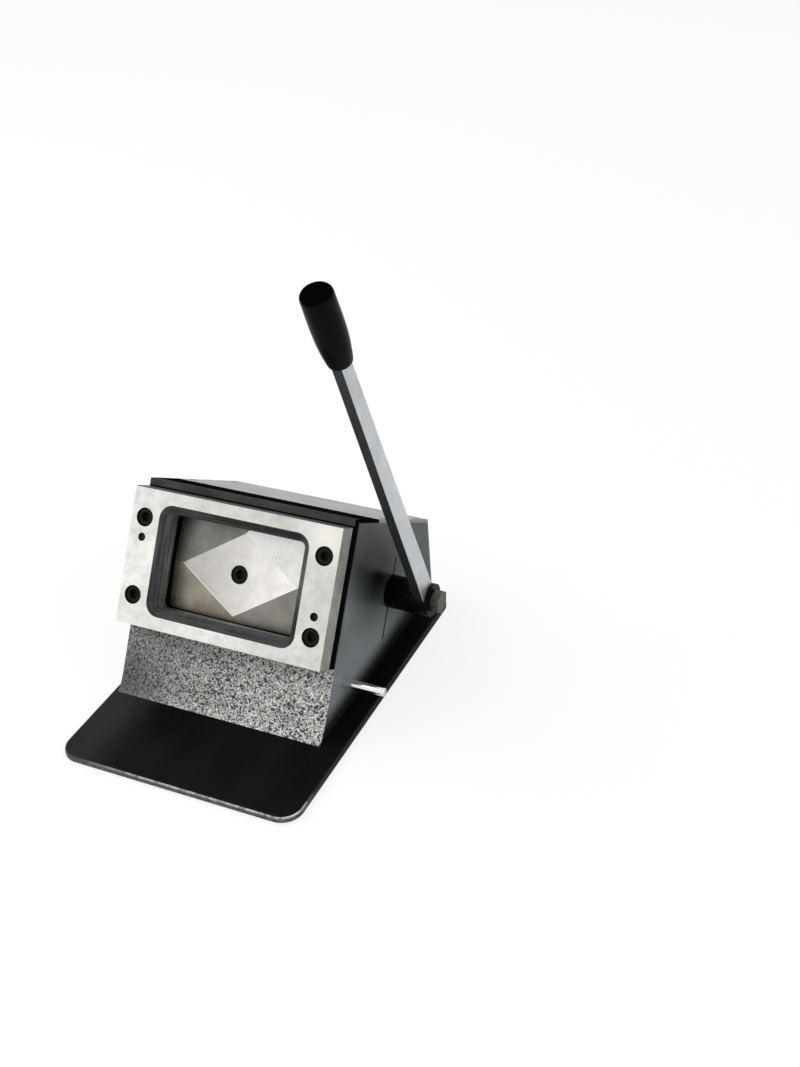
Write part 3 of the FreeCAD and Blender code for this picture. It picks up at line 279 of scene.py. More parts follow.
# ---------------------------------------------------------------- tie bars
# Two square bars of mild steel across the inside of the body. They are welded to the walls and
# carry the screws from below, and they are left as sawn and milled.
machined = Finish("machined_steel", (0.42, 0.42, 0.41), 0.38, 1.0)
tool_marks = machined.grain(0.0008, (20, 1, 1), detail=2)
machined.bump(tool_marks, 0.00004, 0.6)
machined.gloss(tool_marks, 0.3, 0.5)
for tie in ("front_tie", "rear_tie"):
    dress(tie, machined)


# ---------------------------------------------------------------- walls and covers
# Steel side walls, a top cover and a rear cover, all sprayed blue-grey. The paint is half glossy
# and slightly cloudy. The top cover's copy is painted lighter, as light on the top. The lever
# side's copy is lighter and less glossy and carries painted light and shade, and a thin slit is cut
# through that wall.
lean = math.radians(32)
press_foot = Matrix.Translation((-0.005, -0.0389, 0.0499))
press = press_foot @ Matrix.Rotation(math.pi / 2 - lean, 4, "X")
slit_low, slit_high, slit_depth = 0.013, 0.061, 0.0784


def eased(name, node, finishes, body, width, angle=30):
    """A copy of a CAD node with its facets merged and its edges rounded, in the node's place."""
    shape = bmesh.new()
    shape.from_mesh(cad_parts[node].data)
    bmesh.ops.remove_doubles(shape, verts=shape.verts, dist=0.000005)
    bmesh.ops.dissolve_limit(shape, angle_limit=0.01, verts=shape.verts, edges=shape.edges)
    soften(shape, width, 2, angle)
    return finished(name, shape, finishes, body, [node])


def shaded(tint, share):
    """The tint made darker or lighter."""
    return tuple(value * share for value in tint)


def body_paint(name, tint, shine=0.16, painted_shading=None):
    """The blue-grey paint in one panel's tint; the shading, if given, paints light and shade in."""
    coat = Finish(name, tint, 0.34, shine=shine)
    clouds = coat.grain(0.022, detail=3, rough=0.5)
    paint = coat.ramp(clouds, [(0.32, shaded(tint, 0.82)), (0.52, tint), (0.7, shaded(tint, 1.14))])
    coat.colour(painted_shading(coat, tint, paint) if painted_shading else paint)
    coat.gloss(clouds, 0.24, 0.4)
    coat.bump(coat.grain(0.0018, detail=2), 0.00005, 0.7)
    coat.bump(coat.grain(0.0007, detail=4), 0.00001, 0.5)
    return coat


def lever_side_shading(coat, tint, paint):
    """Painted light and shade: pale low down, dark at rear and foot, a hub shadow, a slit band."""
    # Painted light low on the wall, and painted shade towards the rear.
    paint = coat.mix(coat.along("Z", 0.02, 0.06), shaded(tint, 1.4), paint)
    paint = coat.mix(coat.along("Y", 0.03, 0.085), paint, shaded(tint, 0.6))
    # Painted shadow of the hub on the shaft, falling up and forwards from it.
    for point, reach, hub_shadow in (((0.0615, 0.01, 0.104), 0.032, (0.05, 0.053, 0.054)),
                                ((0.0615, 0.022, 0.084), 0.034, (0.03, 0.032, 0.033)),
                                ((0.0615, 0.037, 0.064), 0.046, (0.003, 0.0033, 0.0033))):
        paint = coat.mix(coat.near(point, reach), paint, hub_shadow)
    # A painted dark band round the slit, as the shade in it.
    up, out = press.col[1].xyz, press.col[2].xyz
    foot, head = (press.translation.dot(up) + rise for rise in (slit_low, slit_high))
    line = press.translation.dot(out) - slit_depth
    full, faded = 0.0006, 0.0011
    dark_band = coat.mix(coat.along(out, line + full, line + faded), (0.003, 0.003, 0.003), paint)
    dark_band = coat.mix(coat.along(out, line - faded, line - full), paint, dark_band)
    dark_band = coat.mix(coat.along(up, head, head + 0.001), dark_band, paint)
    paint = coat.mix(coat.along(up, foot - 0.001, foot), paint, dark_band)
    # Painted shade along the wall's foot, next to the base.
    return coat.mix(coat.along("Z", 0.008, 0.023), (0.01, 0.0105, 0.0105), paint)


wall_paint = body_paint("blue_grey_paint", (0.086, 0.096, 0.098))
# The lever side's copy is lighter and less glossy than the other walls' paint: a lit copy.
lever_wall_paint_shaded = body_paint("blue_grey_paint_lever_side_shaded", (0.122, 0.137, 0.141), 0.06, lever_side_shading)
painted_shade_black = Finish("painted_shade_black", (0.003, 0.003, 0.003), 0.7, shine=0.0)
painted_shade_black.bump(painted_shade_black.grain(0.0008), 0.00002)
# The top cover's copy of the paint is painted lighter: painted light on the top.
top_paint_lit = body_paint("blue_grey_paint_top_lit", (0.2, 0.205, 0.22))
eased("left_wall_painted", "left_wall", [wall_paint], "frame", 0.0004)
right = eased("right_wall_painted", "right_wall", [lever_wall_paint_shaded, painted_shade_black], "frame", 0.0004)
near_slit, past_slit, side_on = 0.0015, 0.003, 0.95
# The slit's inner faces and the bevels round it are painted black as shade.
for face in right.data.polygons:
    place = press.inverted() @ face.center
    by_slit = (abs(place.z + slit_depth) < near_slit
               and slit_low - past_slit < place.y < slit_high + past_slit)
    face.material_index = int(by_slit and abs(face.normal.x) < side_on)
eased("top_cover_painted", "top_cover", [top_paint_lit], "frame", 0.0003)
eased("rear_cover_painted", "rear_cover", [wall_paint], "frame", 0.0003)


# ---------------------------------------------------------------- top strip and small screws
# A black flat bar across the front of the top, which closes the guide block, with the small
# countersunk screws that hold it and the covers.
oxide = Finish("black_oxide_steel", (0.006, 0.006, 0.006), 0.38, shine=0.1)
oxide_grain = oxide.grain(0.0012, detail=4)
oxide.gloss(oxide_grain, 0.3, 0.52)
oxide.bump(oxide_grain, 0.00002, 0.6)
dress("cover_screws", oxide)
strip_black = Finish("strip_black", (0.004, 0.004, 0.004), 0.8, shine=0.0)
strip_black.bump(strip_black.grain(0.0012, detail=4), 0.00002, 0.6)
eased("top_strip_oxidised", "top_strip", [strip_black], "frame", 0.0003)
dress("strip_screws", strip_black)


# ---------------------------------------------------------------- chute
# Bent sheet steel on the walls' front edges, turned forward at its foot. It is sprayed with a
# stone-effect paint: black, grey and white grains under a hard, slightly glossy coat.
side = press_foot @ Matrix(((0, 0, 1), (1, 0, 0), (0, 1, 0))).to_4x4()


def level(rise, depth):
    """A point of the press's side view in level axes: rearwards, then upwards."""
    return Vector((rise * math.sin(lean) + depth * math.cos(lean),
                   rise * math.cos(lean) - depth * math.sin(lean), 0))


stone = Finish("stone_effect_paint", (0.3, 0.3, 0.29), 0.4)
fine = stone.specks(0.00068)
coarse = stone.specks(0.0012)
grey = stone.ramp(fine, [(0.0, (0.008, 0.008, 0.008)), (0.18, (0.03, 0.03, 0.029)),
                         (0.3, (0.3, 0.3, 0.29)), (0.7, (0.6, 0.59, 0.57)),
                         (1.0, (0.97, 0.96, 0.93))])
flecks = stone.ramp(coarse, [(0.1, (0.06, 0.06, 0.06)), (0.15, (0.85, 0.85, 0.85)),
                             (0.9, (1, 1, 1))])
grains = stone.mix(1.0, grey, flecks, "MULTIPLY")
# Painted shade: darker towards the left, and darkest in the corner at the left foot.
chute_shade = stone.mix(stone.along("X", -0.08, 0.03), (0.42, 0.42, 0.41), (1, 1, 1))
chute_shade = stone.mix(stone.near((-0.0715, -0.048, 0.006), 0.045), chute_shade, (0.13, 0.13, 0.13))
stone.colour(stone.mix(1.0, grains, chute_shade, "MULTIPLY"))
stone.bump(fine, 0.00005, 0.5)
stone.gloss(fine, 0.32, 0.5)
chute_width, sheet, base_top = 0.133, 0.0012, -0.0449
chute_depth, chute_crest, flare_start = 0.0172, -0.0003, -0.0315
flare_radius, flare_angle = 0.036, math.radians(26)
chute = bmesh.new()
bend = chute.verts.new(level(flare_start, chute_depth))
crest = chute.verts.new(level(chute_crest, chute_depth))
chute.edges.new((crest, bend))
bmesh.ops.spin(chute, geom=[bend], cent=level(flare_start, chute_depth - flare_radius),
               axis=(0, 0, 1), angle=-flare_angle, steps=14)
swept = bmesh.ops.extrude_edge_only(chute, edges=chute.edges[:])["geom"]
bmesh.ops.translate(chute, vec=(0, 0, chute_width), verts=verts_of(swept))
bmesh.ops.translate(chute, vec=(0, 0, -chute_width / 2), verts=chute.verts)
bmesh.ops.recalc_face_normals(chute, faces=chute.faces)
bmesh.ops.solidify(chute, geom=chute.faces[:], thickness=-sheet)
bmesh.ops.bisect_plane(chute, geom=chute.verts[:] + chute.edges[:] + chute.faces[:],
                       plane_co=(0, base_top, 0), plane_no=(0, -1, 0), clear_outer=True)
bmesh.ops.holes_fill(chute, edges=chute.edges, sides=4)
soften(chute, 0.0003, 2, 60)
finished("chute_sprayed", chute, [stone], "frame", ["chute"], place=side, flat=1)


# ---------------------------------------------------------------- guide block, guide plate, spacer
# A steel block between the walls and a hardened plate on its front face, both bored to the card's
# outline. The thin U-shaped shim in front of them makes the slot that the plastic sheet goes in.
# The plate's front shows as a dark grey band above the die plate and is painted black as shade
# below it; its top looks black, and its bore is painted black as shade.
dress("guide_block", machined)
guide_skin = Finish("guide_plate_skin", (0.034, 0.036, 0.034), 0.6, shine=0.0)
guide_skin.bump(guide_skin.grain(0.0007, (16, 1, 1), detail=3), 0.00002, 0.7)
dark_band = guide_skin.ramp(guide_skin.grain(0.008, (3, 1, 1), detail=4), [
    (0.35, (0.042, 0.045, 0.043)), (0.65, (0.078, 0.083, 0.079))])
# Below the die plate's top edge the front is painted black as the shade in the slot.
guide_skin.colour(guide_skin.mix(guide_skin.along("Z", 0.11, 0.1107), (0.002, 0.002, 0.002), dark_band))
guide = eased("guide_plate_hardened", "guide_plate", [guide_skin, painted_shade_black], "frame", 0.0003)
bore_reach, front_on = 0.078, 0.9
# The bore's faces are painted black as shade.
for face in guide.data.polygons:
    place = press.inverted() @ face.center
    forward = face.normal.dot(press.col[2].xyz)
    face.material_index = int(place.y < bore_reach and forward < front_on)
# The shim is painted black as the shade in the slot.
dress("slot_spacer", painted_shade_black)


# ---------------------------------------------------------------- die plate
# Tool steel ground bright on the face, with a card-shaped land that a 45 degree chamfer leads out
# of. The face keeps fine grinding lines and faint stains, is painted darker to the right and the
# top as shade, and has a painted glare at its top right. The window is wire cut and left dull, the
# bores are as dark as the chamfer, and the top edge is painted as dark as it as shade.
def open_outline(shape, width, height, corner, steps=8, y=0.0, z=0.0):
    """The edges of a rounded rectangle, without its face."""
    before = set(shape.edges)
    made = rounded_face(shape, width, height, corner, steps, y=y, z=z)
    bmesh.ops.delete(shape, geom=made[0].link_faces[:], context="FACES_ONLY")
    return [edge for edge in shape.edges if edge not in before]


def round_outline(shape, radius, x, y, z=0.0, steps=40, turn=0.0):
    """The edges of a circle, or of a hexagon with six steps."""
    made = bmesh.ops.create_circle(
        shape, cap_ends=False, segments=steps, radius=radius,
        matrix=Matrix.Translation((x, y, z)) @ Matrix.Rotation(turn, 4, "Z"))["verts"]
    return list({edge for vert in made for edge in vert.link_edges})


def drop(shape, edges, depth, material=0, axis=(0, 0, -1)):
    """Walls that run from these edges along the axis; gives the edges at their far end."""
    made = bmesh.ops.extrude_edge_only(shape, edges=edges)["geom"]
    moved = verts_of(made)
    bmesh.ops.translate(shape, vec=Vector(axis) * depth, verts=moved)
    for item in made:
        if isinstance(item, bmesh.types.BMFace):
            item.material_index = material
    ends = set(moved)
    return [item for item in made if isinstance(item, bmesh.types.BMEdge)
            and set(item.verts) <= ends]


def face_between(shape, edges, material=0):
    """A flat face inside the first outline and round the others."""
    made = bmesh.ops.triangle_fill(shape, use_beauty=True, use_dissolve=False, edges=edges,
                                   normal=(0, 0, 1))["geom"]
    for item in made:
        if isinstance(item, bmesh.types.BMFace):
            item.material_index = material


ground = Finish("ground_tool_steel", (0.62, 0.61, 0.56), 0.28, 1.0)
grind = ground.grain(0.00035, (60, 1, 1), detail=3)
wander = ground.grain(0.028, (1.5, 1, 1), detail=3)
stain = ground.grain(0.0075, detail=6, rough=0.68)
stained = ground.mix(ground.ramp(stain, [(0.42, (0, 0, 0)), (0.7, (0.6, 0.6, 0.6))]),
                     ground.ramp(wander, [(0.3, (0.76, 0.75, 0.7)), (0.7, (0.9, 0.89, 0.84))]),
                     (0.52, 0.515, 0.465))
# Painted shade: darker towards the right and towards the top.
painted_shade_right = ground.mix(ground.along("X", -0.06, 0.05), (1, 1, 1), (0.86, 0.86, 0.86))
painted_shade_high = ground.mix(ground.along("Z", 0.06, 0.115), (1, 1, 1), (0.88, 0.88, 0.88))
painted_shade = ground.mix(1.0, painted_shade_right, painted_shade_high, "MULTIPLY")
# A painted glare near the top right corner.
ground.colour(ground.mix(ground.near((0.052, -0.001, 0.112), 0.026),
                         ground.mix(1.0, stained, painted_shade, "MULTIPLY"), (0.82, 0.805, 0.745)))
ground.gloss(ground.mix(0.5, grind, wander), 0.22, 0.38)
ground.bump(grind, 0.000012, 0.8)
chamfer_skin = Finish("chamfer_skin", (0.045, 0.05, 0.055), 0.42, 0.5, 0.3)
cut_lines = chamfer_skin.grain(0.0004, detail=3)
along_press = {"turn": (lean - math.pi / 2, 0, 0), "detail": 2}
burnt = chamfer_skin.ramp(chamfer_skin.grain(0.005, detail=5, rough=0.65), [
    (0.35, (0.024, 0.027, 0.028)), (0.55, (0.05, 0.055, 0.056)), (0.72, (0.1, 0.108, 0.108))])
streaks = chamfer_skin.ramp(chamfer_skin.grain(0.0009, (40, 40, 1), **along_press), [
    (0.38, (0.012, 0.013, 0.013)), (0.62, (0.095, 0.102, 0.102))])
shadow = chamfer_skin.mix(chamfer_skin.along("Z", 0.068, 0.084), (0.55, 0.55, 0.55), (1, 1, 1))
marked = chamfer_skin.mix(0.6, burnt, streaks)
chamfer_skin.colour(chamfer_skin.mix(1.0, marked, shadow, "MULTIPLY"))
chamfer_skin.gloss(cut_lines, 0.34, 0.56)
chamfer_skin.bump(cut_lines, 0.00003, 0.8)
land_steel = Finish("land_steel", (0.15, 0.155, 0.15), 0.36, 0.6, 0.3)
wire_lines = land_steel.grain(0.0011, (40, 40, 1), **along_press)
land_steel.colour(land_steel.ramp(wire_lines, [(0.4, (0.03, 0.031, 0.03)),
                                               (0.6, (0.22, 0.225, 0.215))]))
land_steel.gloss(land_steel.grain(0.0005), 0.28, 0.46)
milled_edge = Finish("milled_edge", (0.3, 0.31, 0.27), 0.4, 0.9)
edge_stain = milled_edge.grain(0.006, detail=5, rough=0.65)
milled_edge.colour(milled_edge.ramp(edge_stain, [(0.35, (0.24, 0.25, 0.22)),
                                                 (0.65, (0.35, 0.36, 0.32))]))
milled_edge.gloss(edge_stain, 0.32, 0.5)
milled_edge.bump(milled_edge.grain(0.0005, (1, 1, 30), detail=2), 0.00002, 0.7)
card_width, card_height, card_corner = 0.0856, 0.054, 0.00318
chamfer, land_length = 0.005, 0.007
die_width, die_height, die_thickness, die_edge = 0.132, 0.079, 0.012, 0.0004
middle = die_height / 2
screw_x, screw_y, pin_y = 0.0573, 0.0224, 0.011
screw_places = [(sx * screw_x, middle + sy * screw_y) for sx in (-1, 1) for sy in (-1, 1)]
pin_places = [(sx * screw_x, middle - sx * pin_y) for sx in (-1, 1)]
counterbore, counterbore_depth = 0.0054, 0.0068
pin_radius, pin_sunk = 0.0024, 0.004
die = bmesh.new()
land = open_outline(die, card_width, card_height, card_corner, y=middle, z=-chamfer)
mouth = open_outline(die, card_width + 2 * chamfer, card_height + 2 * chamfer,
                     card_corner + chamfer, y=middle)
rim = open_outline(die, die_width, die_height, 0, y=middle)
for face in bmesh.ops.bridge_loops(die, edges=land + mouth)["faces"]:
    face.material_index = 1
land_end = drop(die, land, land_length, 2)
wells = []
for radius, depth, places in ((counterbore, counterbore_depth, screw_places),
                              (pin_radius, pin_sunk, pin_places)):
    for x, y in places:
        well = round_outline(die, radius, x, y)
        wells += well
        face_between(die, drop(die, well, depth, 1), 1)
face_between(die, rim + mouth + wells)
face_between(die, drop(die, rim, die_thickness, 3) + land_end)
bmesh.ops.recalc_face_normals(die, faces=die.faces)


def on_rim(edge):
    """Whether the edge touches the die plate's outer sides."""
    return any(abs(vert.co.x) > die_width / 2 - hair or abs(vert.co.y - middle) > middle - hair
               for vert in edge.verts)


soften(die, die_edge, 2, 60, wanted=on_rim)
die.normal_update()
# The top edge and its bevel get the dark chamfer finish as painted shade.
upward, top_band = 0.3, 0.0005
for face in die.faces:
    if face.normal.y > upward and face.calc_center_median().y > die_height - top_band:
        face.material_index = 1
finished("die_plate_ground", die, [ground, chamfer_skin, land_steel, milled_edge], "frame",
         ["die_plate"], place=press)


# ---------------------------------------------------------------- die screws and dowels
# Four M6 socket head screws, black oxidised, sunk in counterbores, and two plain steel dowels
# that stop a little below the face so that they can be driven out from the front.
def socket_head(shape, x, y, z, radius, height, across_flats, edge=0.0006):
    """A round screw head with its top at z and a hexagon socket half as deep as it is high."""
    corner = across_flats / 2 / math.cos(math.pi / 6)
    shell = round_outline(shape, radius, x, y, z, steps=48)
    socket = round_outline(shape, corner, x, y, z, steps=6, turn=0.3)
    face_between(shape, shell + socket)
    face_between(shape, drop(shape, socket, height / 2))
    face_between(shape, drop(shape, shell, height))
    inside_rim = radius * 0.98
    soften(shape, edge, 3, 60, wanted=lambda item: all(
        abs(vert.co.z - z) < 1e-6 and math.hypot(vert.co.x - x, vert.co.y - y) > inside_rim
        for vert in item.verts))


def peg(shape, radius, length, place, segments=24):
    """A round bar with closed ends, along the place's z axis and with its middle there."""
    bmesh.ops.create_cone(shape, cap_ends=True, segments=segments, radius1=radius, radius2=radius,
                          depth=length, matrix=place)


dark_steel = Finish("dark_hardened_steel", (0.024, 0.026, 0.024), 0.4, shine=0.12)
draw_lines = dark_steel.grain(0.0007, (16, 1, 1), detail=3)
dark_steel.colour(dark_steel.ramp(dark_steel.grain(0.012, detail=3), [
    (0.3, (0.014, 0.015, 0.014)), (0.7, (0.034, 0.037, 0.034))]))
dark_steel.gloss(draw_lines, 0.26, 0.44)
dark_steel.bump(draw_lines, 0.00002, 0.7)
head_radius, head_height, hex_flats, screw_radius = 0.005, 0.006, 0.005, 0.003
head_sunk, shank_length = 0.0008, 0.02
heads = bmesh.new()
for x, y in screw_places:
    socket_head(heads, x, y, -head_sunk, head_radius, head_height, hex_flats)
    peg(heads, screw_radius, shank_length,
        Matrix.Translation((x, y, -head_sunk - head_height - shank_length / 2)))
finished("die_screws_oxidised", heads, [oxide], "frame", ["die_screws"], place=press)
pin_length, pin_top = 0.0234, 0.002
pins = bmesh.new()
for x, y in pin_places:
    peg(pins, pin_radius, pin_length, Matrix.Translation((x, y, -pin_top - pin_length / 2)), 32)
soften(pins, 0.0004, 3, 60)
finished("dowel_pins_ground", pins, [dark_steel], "frame", ["dowel_pins"],
         place=press)


# ---------------------------------------------------------------- punch
# Hardened steel block ground to the card's outline. Its face is a flat diamond, and four facets
# fall away from it to the corners, so that the shear starts in the middle of each side. The diamond
# has a painted sheen, each facet's colour is its painted light or shade, and the two lower edges of
# the diamond carry a painted highlight.
punch_ground = Finish("punch_ground_steel", (0.66, 0.645, 0.6), 0.3, 1.0)
wear = punch_ground.grain(0.009, detail=5, rough=0.6)
# A painted sheen: the diamond is painted lighter towards the right.
painted_sheen = punch_ground.mix(punch_ground.along("X", -0.035, 0.028), (0.53, 0.518, 0.478),
                         (0.92, 0.9, 0.845))
punch_ground.colour(punch_ground.mix(1.0, painted_sheen, punch_ground.ramp(wear, [
    (0.35, (0.85, 0.85, 0.85)), (0.65, (1, 1, 1))]), "MULTIPLY"))
punch_lines = punch_ground.grain(0.0004, (40, 1, 1), turn=(0, 0, 0.3), detail=3)
punch_ground.gloss(punch_lines, 0.24, 0.4)
punch_ground.bump(punch_lines, 0.000012, 0.8)
# Each facet has its own copy of the ground steel, in the painted light or shade of its slope.
facet_finishes = []
for name, shade in (("facet_upper_left", (0.165, 0.17, 0.148)),
                    ("facet_upper_right", (0.84, 0.82, 0.76)),
                    ("facet_lower_left", (0.29, 0.262, 0.212)),
                    ("facet_lower_right", (0.235, 0.226, 0.2))):
    facet = Finish(name, shade, 0.36, 0.9)
    mottle = facet.grain(0.0011, detail=6, rough=0.75)
    cloud = facet.grain(0.012, detail=2)
    facet.colour(facet.mix(facet.ramp(cloud, [(0.35, (0.2, 0.2, 0.2)), (0.65, (0.75, 0.75, 0.75))]),
                           facet.ramp(mottle, [(0.35, shaded(shade, 0.6)), (0.65, shade)]),
                           tuple(min(value, 0.78) for value in shaded(shade, 1.35))))
    facet.gloss(mottle, 0.28, 0.46)
    facet.bump(mottle, 0.00002, 0.6)
    facet_finishes.append(facet)
# A painted highlight along the two lower edges of the diamond.
painted_highlight_seam = Finish("painted_highlight_seam", (0.93, 0.915, 0.86), 0.3, 0.9)
painted_highlight_seam.gloss(painted_highlight_seam.grain(0.001, detail=4), 0.24, 0.4)
punch_width, punch_height, punch_corner = 0.08554, 0.05394, 0.00315
punch_depth, punch_length = 0.0156, 0.024
half_wide, half_tall, seam, full_fall = 0.0368, 0.0236, 0.0007, 0.002
screw_well, well_depth, well_slack = 0.0054, 0.0066, 0.0006
falls = {(-1, 1): full_fall, (1, 1): 0.0006, (-1, -1): full_fall, (1, -1): full_fall}
past_edge = punch_width / 2 / half_wide + punch_height / 2 / half_tall - 1
slopes = {(sx, sy): Vector((sx / half_wide, sy / half_tall, -1)) * fall / past_edge
          for (sx, sy), fall in falls.items()}
punch = bmesh.new()
front = open_outline(punch, punch_width, punch_height, punch_corner)
well = round_outline(punch, screw_well, 0, 0)
face_between(punch, front + well)
cuts = []
for sx, sy in falls:
    for reach in (half_wide,) if sy > 0 else (half_wide, half_wide + seam):
        cuts.append(((sx * reach, 0, 0), (sx * half_tall, sy * half_wide, 0)))
for first, second, tip in (((-1, 1), (1, 1), (0, half_tall, 0)),
                           ((1, 1), (1, -1), (half_wide, 0, 0)),
                           ((1, -1), (-1, -1), (0, -half_tall, 0)),
                           ((-1, -1), (-1, 1), (-half_wide, 0, 0))):
    cuts.append((tip, (*(slopes[first] - slopes[second]).xy, 0)))
for point, normal in cuts:
    bmesh.ops.bisect_plane(punch, geom=punch.verts[:] + punch.edges[:] + punch.faces[:],
                           plane_co=point, plane_no=normal, dist=1e-7)
for vert in punch.verts:
    vert.co.z = -max(0, *(Vector((*vert.co.xy, 1)).dot(slope) for slope in slopes.values()))
for face in punch.faces:
    spot = Vector((*face.calc_center_median().xy, 1))
    depths = [spot.dot(slope) for slope in slopes.values()]
    if max(depths) > 0:
        facet_number = depths.index(max(depths))
        on_seam = facet_number > 1 and max(depths) < full_fall / past_edge * seam / half_wide
        face.material_index = 5 if on_seam else 1 + facet_number
open_edges = [edge for edge in punch.edges if len(edge.link_faces) == 1]
well_edges = [edge for edge in open_edges
              if math.hypot(*edge.verts[0].co.xy) < screw_well + well_slack]
face_between(punch, drop(punch, well_edges, well_depth))
skirt = drop(punch, [edge for edge in open_edges if edge not in well_edges], punch_length)
for vert in {vert for edge in skirt for vert in edge.verts}:
    vert.co.z = -punch_length
face_between(punch, skirt)
finished("punch_ground", punch, [punch_ground, *facet_finishes, painted_highlight_seam], "ram_body", ["punch"],
         smooth=2.0, place=press @ Matrix.Translation((0, middle, -punch_depth)))
bolt_top, bolt_length = -0.0162, 0.028
bolt = bmesh.new()
socket_head(bolt, 0, middle, bolt_top, head_radius, head_height, hex_flats)
peg(bolt, screw_radius, bolt_length,
    Matrix.Translation((0, middle, bolt_top - head_height - bolt_length / 2)))
finished("punch_screw_oxidised", bolt, [oxide], "ram_body", ["punch_screw"],
         place=press)


# ---------------------------------------------------------------- ram and its guide
# A milled steel plate behind the punch, with bronze bushes that run on four polished rods, and a
# hard pad on its back. Two dowels and one screw hold the punch to the plate's neck.
bronze = Finish("bronze", (0.55, 0.36, 0.16), 0.32, 1.0)
bronze.gloss(bronze.grain(0.0006), 0.25, 0.42)
polished = Finish("polished_steel", (0.7, 0.7, 0.71), 0.14, 1.0)
polished.gloss(polished.grain(0.0008, (1, 6, 6)), 0.1, 0.22)
for part, finish in (("ram", machined), ("wear_pad", machined), ("pad_screws", oxide),
                     ("punch_dowels", polished), ("guide_rods", polished), ("ram_bushes", bronze)):
    dress(part, finish)


# ---------------------------------------------------------------- return springs
# Four coil springs of 1.2 mm wire on the guide rods. They push the ram back, and close up as it
# moves forward.
spring_wire = Finish("spring_wire", (0.3, 0.3, 0.31), 0.3, 1.0)
spring_wire.gloss(spring_wire.grain(0.0005), 0.24, 0.4)
spring_x, spring_y, front_depth, back_depth = 0.0515, 0.016, 0.0352, 0.0536
turns, steps_per_turn, wire_radius, coil_radius = 6, 28, 0.0006, 0.0052
steps = turns * steps_per_turn
coils = bmesh.new()
for sx in (-1, 1):
    for sy in (-1, 1):
        centre = Vector((sx * spring_x, middle + sy * spring_y, -back_depth))
        loop = round_outline(coils, wire_radius, 0, 0, steps=10)
        around = list({vert for edge in loop for vert in edge.verts})
        bmesh.ops.transform(coils, verts=around, matrix=Matrix.Translation(
            centre + Vector((coil_radius, 0, 0))) @ Matrix.Rotation(math.pi / 2, 4, "X"))
        first_end = bmesh.ops.duplicate(coils, geom=around + loop)["geom"]
        bmesh.ops.contextual_create(coils, geom=first_end)
        last_end = bmesh.ops.spin(coils, geom=loop, cent=centre, axis=(0, 0, 1),
                                  dvec=(0, 0, (back_depth - front_depth) / steps),
                                  angle=turns * math.tau, steps=steps)["geom_last"]
        bmesh.ops.contextual_create(coils, geom=[item for item in last_end
                                                 if isinstance(item, bmesh.types.BMEdge)])
springs = finished("return_springs_coiled", coils, [spring_wire], "frame", ["return_springs"],
                   smooth=80, place=press)
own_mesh(springs)


# ---------------------------------------------------------------- shaft and eccentric
# A ground cross shaft in flanged bronze bushes, with two collars against endplay. Keys carry the
# lever's pull to the hub and to the hardened eccentric that drives the ram.
for part, finish in (("shaft", polished), ("eccentric", machined), ("shaft_keys", zinc),
                     ("shaft_bushes", bronze), ("shaft_collars", oxide), ("collar_screws", oxide)):
    dress(part, finish)


# ---------------------------------------------------------------- hub and lever bar
# A turned hub with an end slot. The flat bar drops into the slot and tapers towards the hand; its
# faces are brushed bright and its edges are dark.
swing = math.radians(21.3)
shaft_centre = (-0.005, 0.0493667, 0.0432091)
lever = Matrix.Translation(shaft_centre) @ Matrix.Rotation(swing, 4, "X")
hub_black = Finish("hub_black", (0.0022, 0.0022, 0.0024), 0.36, shine=0.05)
turning = hub_black.grain(0.0006, (1, 40, 40), detail=2)
hub_black.gloss(turning, 0.24, 0.4)
hub_black.bump(turning, 0.00002, 0.5)
eased("lever_hub_turned", "lever_hub", [hub_black], "lever_body", 0.0005, 50)
brushed = Finish("brushed_steel", (0.5, 0.52, 0.54), 0.36, 0.9)
strokes = brushed.grain(0.0005, (1, 1, 60), turn=(-swing, 0, 0), detail=3)
brushed.colour(brushed.ramp(brushed.grain(0.014, detail=3), [
    (0.3, (0.44, 0.46, 0.48)), (0.7, (0.56, 0.58, 0.6))]))
brushed.gloss(strokes, 0.28, 0.46)
brushed.bump(strokes, 0.000015, 0.8)
bar_edge_dark = Finish("dark_bar_edges", (0.045, 0.047, 0.05), 0.4, 0.8)
bar_edge_dark.gloss(bar_edge_dark.grain(0.003, detail=4), 0.32, 0.52)
bar_side, bar_thickness = 0.086, 0.006
half_foot, half_tip = 0.00675, 0.00475
bar_foot, taper_start, grip_foot, bar_tip = -0.007, 0.0098, 0.2045, 0.229
up_one_edge = [(half_foot, bar_foot), (half_foot, taper_start), (half_tip, grip_foot),
               (half_tip, bar_tip)]
outline = up_one_edge + [(-y, z) for y, z in reversed(up_one_edge)]
bar = bmesh.new()
flat = bmesh.ops.contextual_create(bar, geom=[bar.verts.new((bar_side, y, z)) for y, z in outline])
other = bmesh.ops.extrude_face_region(bar, geom=flat["faces"])["geom"]
bmesh.ops.translate(bar, vec=(bar_thickness, 0, 0), verts=verts_of(other))
bmesh.ops.recalc_face_normals(bar, faces=bar.faces)
soften(bar, 0.0005, 3, 60)
broad_side = 0.6
for face in bar.faces:
    face.normal_update()
    face.material_index = int(abs(face.normal.x) < broad_side)
finished("lever_bar_brushed", bar, [brushed, bar_edge_dark], "lever_body", ["lever_bar"],
         place=lever)


